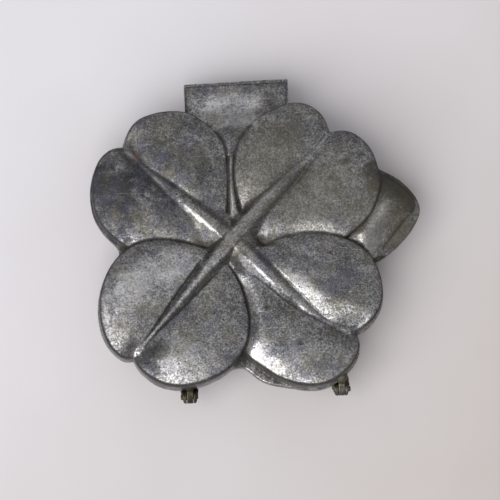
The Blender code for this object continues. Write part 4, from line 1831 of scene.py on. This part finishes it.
@dataclass(frozen=True)
class BackdropFinish(Finish):
    """Matt painted board: pale, without a highlight, a little darker away from the light.

    Attributes:
        name: Name of the material.
        near_light: Colour on the light's side.
        far_light: Colour on the other side.
        roughness: Roughness of the paint.
        cloud: Size of its faint unevenness, in mm.
        spread: Distance in metres from the middle at which each colour is reached.
    """

    name: str = "matt_painted_board"
    near_light: str = "e2e0e5"
    far_light: str = "c8c1be"
    roughness: float = 0.75
    cloud: float = 60.0
    spread: Point = (-0.09, 0.11)

    def surface(self, add: Callable[..., Socket], place: Socket) -> dict[str, object]:
        """Adds the board's nodes, which have no metal.

        Args:
            add: Adds one node to the material's tree.
            place: The coordinates of the surface.

        Returns:
            The shader's inputs by name.
        """
        x = add("SeparateXYZ", (place,))
        # The light stands to the lower left, so the shade grows from there across the board.
        sides = [add("Math", (side, 0.7), operation="MULTIPLY") for side in (x, x.node.outputs["Y"])]
        away = add("Math", tuple(sides), operation="SUBTRACT")
        noise = add("TexNoise", {"Vector": place, "Scale": per_size(self.cloud), "Detail": 2.0, **ROUGH})
        clouds = add("MapRange", (noise, *USUAL, -0.08, 0.08))
        share = add("Math", (add("MapRange", (away, *self.spread)), clouds), operation="ADD")
        colours = {6: linear(self.near_light), 7: linear(self.far_light)}
        colour = add("Mix", {0: share, **colours}, out=2, data_type="RGBA")
        return {"Base Color": colour, "Roughness": self.roughness}


# Light, floor and camera


@dataclass
class Studio:
    """A pale board, one large soft light from the lower left and an overhead camera.

    Attributes:
        tilt: How far the camera leans from straight overhead, in degrees.
        turn: Which way it leans, in degrees from -Y towards -X.
        roll: How far its picture is turned, in degrees.
        distance: Distance of the camera, in mm.
        lens: Its focal length, in mm.
        shift: Where it aims, to the right and up in the picture from the target, in mm.
        key_place: Place of the soft light, in metres.
        key_size: Width of the soft light, in metres.
        key_power: Its power, in watts.
        zenith: Brightness of the room overhead.
        horizon: Brightness of the room round about, above the pale backdrop.
        backdrop: Colour of the backdrop that stands behind the board.
        board_half: Half the side of the board, in metres.
    """

    tilt: float = 13.0
    turn: float = 10.0
    roll: float = -3.4
    distance: float = 650.0
    lens: float = 149.0
    shift: Point = (5.65, -3.77)
    key_place: Triple = (-0.98, -1.08, 1.6)
    key_size: float = 2.2
    key_power: float = 50.0
    zenith: float = 0.56
    horizon: float = 0.18
    backdrop: str = "dddbdc"
    board_half: float = 2.0

    def camera(self, target: Vector) -> None:
        """Aims the camera so that the target lands where the photograph has it.

        Args:
            target: World place of the crossing of the ribs, in metres.
        """
        tilt, turn = math.radians(self.tilt), math.radians(self.turn)
        back = Vector((-math.sin(turn) * math.sin(tilt), -math.cos(turn) * math.sin(tilt), math.cos(tilt)))
        right = Vector((0.0, 1.0, 0.0)).cross(back).normalized()
        roll = Matrix.Rotation(math.radians(self.roll), 3, "Z")
        right, up, back = (roll @ v for v in (right, back.cross(right), back))
        place = target + (right * self.shift[0] + up * self.shift[1] + back * self.distance) * MM
        data = bpy.data.cameras.new("photo_camera")
        data.lens = self.lens
        data.clip_start = 0.05
        camera = bpy.data.objects.new("photo_camera", data)
        axes = Matrix((right, up, back)).transposed()
        camera.matrix_world = Matrix.Translation(place) @ axes.to_4x4()
        bpy.context.scene.collection.objects.link(camera)
        bpy.context.scene.camera = camera

    def key(self) -> None:
        """Hangs the large soft light to the lower left, aimed at the mould."""
        data = bpy.data.lights.new("soft_key", "AREA")
        data.size = self.key_size
        data.energy = self.key_power
        data.color = (1.0, 0.99, 0.98)
        lamp = bpy.data.objects.new("soft_key", data)
        lamp.location = self.key_place
        lamp.rotation_euler = Vector([-c for c in self.key_place]).to_track_quat("-Z", "Y").to_euler()
        bpy.context.scene.collection.objects.link(lamp)

    def room(self) -> None:
        """Lights the room from overhead more than from round about, with a pale backdrop."""
        world = bpy.data.worlds.new("room")
        bpy.context.scene.world = world
        add = NodeTree(world).add
        direction = add("SeparateXYZ", (add("TexCoord", out="Generated"),))
        shade = add("ValToRGB", (direction.node.outputs["Z"],))
        low, high = self.horizon, self.zenith
        greys = ((0.24, low), (0.42, low * 1.25), (0.75, high * 0.85), (1.0, high))
        stops = [(0.12, linear(self.backdrop))] + [(height, (g, g, g * 1.03, 1.0)) for height, g in greys]
        ramp = shade.node.color_ramp
        while len(ramp.elements) < len(stops):
            ramp.elements.new(0.5)
        for element, (height, colour) in zip(ramp.elements, stops):
            element.position = height
            element.color = colour
        add("OutputWorld", (add("Background", (shade,)),))

    def board(self) -> None:
        """Lays the pale board under the mould."""
        mesh = bpy.data.meshes.new("board")
        half = self.board_half
        corners = [(-half, -half, 0), (half, -half, 0), (half, half, 0), (-half, half, 0)]
        mesh.from_pydata(corners, [], [(0, 1, 2, 3)])
        mesh.materials.append(BackdropFinish().material())
        floor = bpy.data.objects.new("board", mesh)
        bpy.context.scene.collection.objects.link(floor)


def dress(objects: list[bpy.types.Object], material: bpy.types.Material) -> None:
    """Gives each object the one material.

    Args:
        objects: The objects.
        material: The material that takes the place of theirs.
    """
    for obj in objects:
        obj.data.materials.clear()
        obj.data.materials.append(material)


def main() -> None:
    """Builds the mould's pieces, dresses them and lights the scene."""
    logging.basicConfig(level=logging.INFO, format="%(name)s: %(message)s")
    scene = bpy.context.scene
    scene.view_settings.view_transform = "Standard"
    # Tarnished cast pewter gives the eye a soft grey shine, broken by grain and dark blotches.
    casting = PewterFinish("tarnished_cast_pewter").material()
    # Soldered pewter is rougher and holds more dirt, so it reads as dark brownish lumps.
    solder = PewterFinish(
        "grimy_soldered_pewter", bright="8d887c", middle="5f5b51", dark="38342c", tarnish=0.62,
        grime_share=0.65, roughness=0.42, cloud=4.0, mottle=1.2, grain=0.4, pit=1.2, relief=0.07,
    ).material()
    # Oxidised iron wire gives the eye a dull brown rod with a few greyer, worn places.
    wire = WireFinish().material()
    for obj in [obj for obj in scene.objects if obj.type == "MESH"]:
        dress([obj], wire if "pin" in obj.name else solder if "lug" in obj.name else casting)
    dress([shell.build(CROSSING) for shell in both_shells()], casting)
    # In the photograph the left hinge point is darker than the right one.
    for side, stain in ((Side.LEFT, 0.75), (Side.RIGHT, -0.8)):
        dress([HingeLug(half, side, stain=stain).build() for half in Half], solder)
        dress([HingePin(side).build()], wire)
    studio = Studio()
    studio.board()
    studio.key()
    studio.room()
    studio.camera(Vector((*CROSSING[:2], 2 * CROSSING[2])) * MM)


if __name__ == "__main__":
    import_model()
    main()
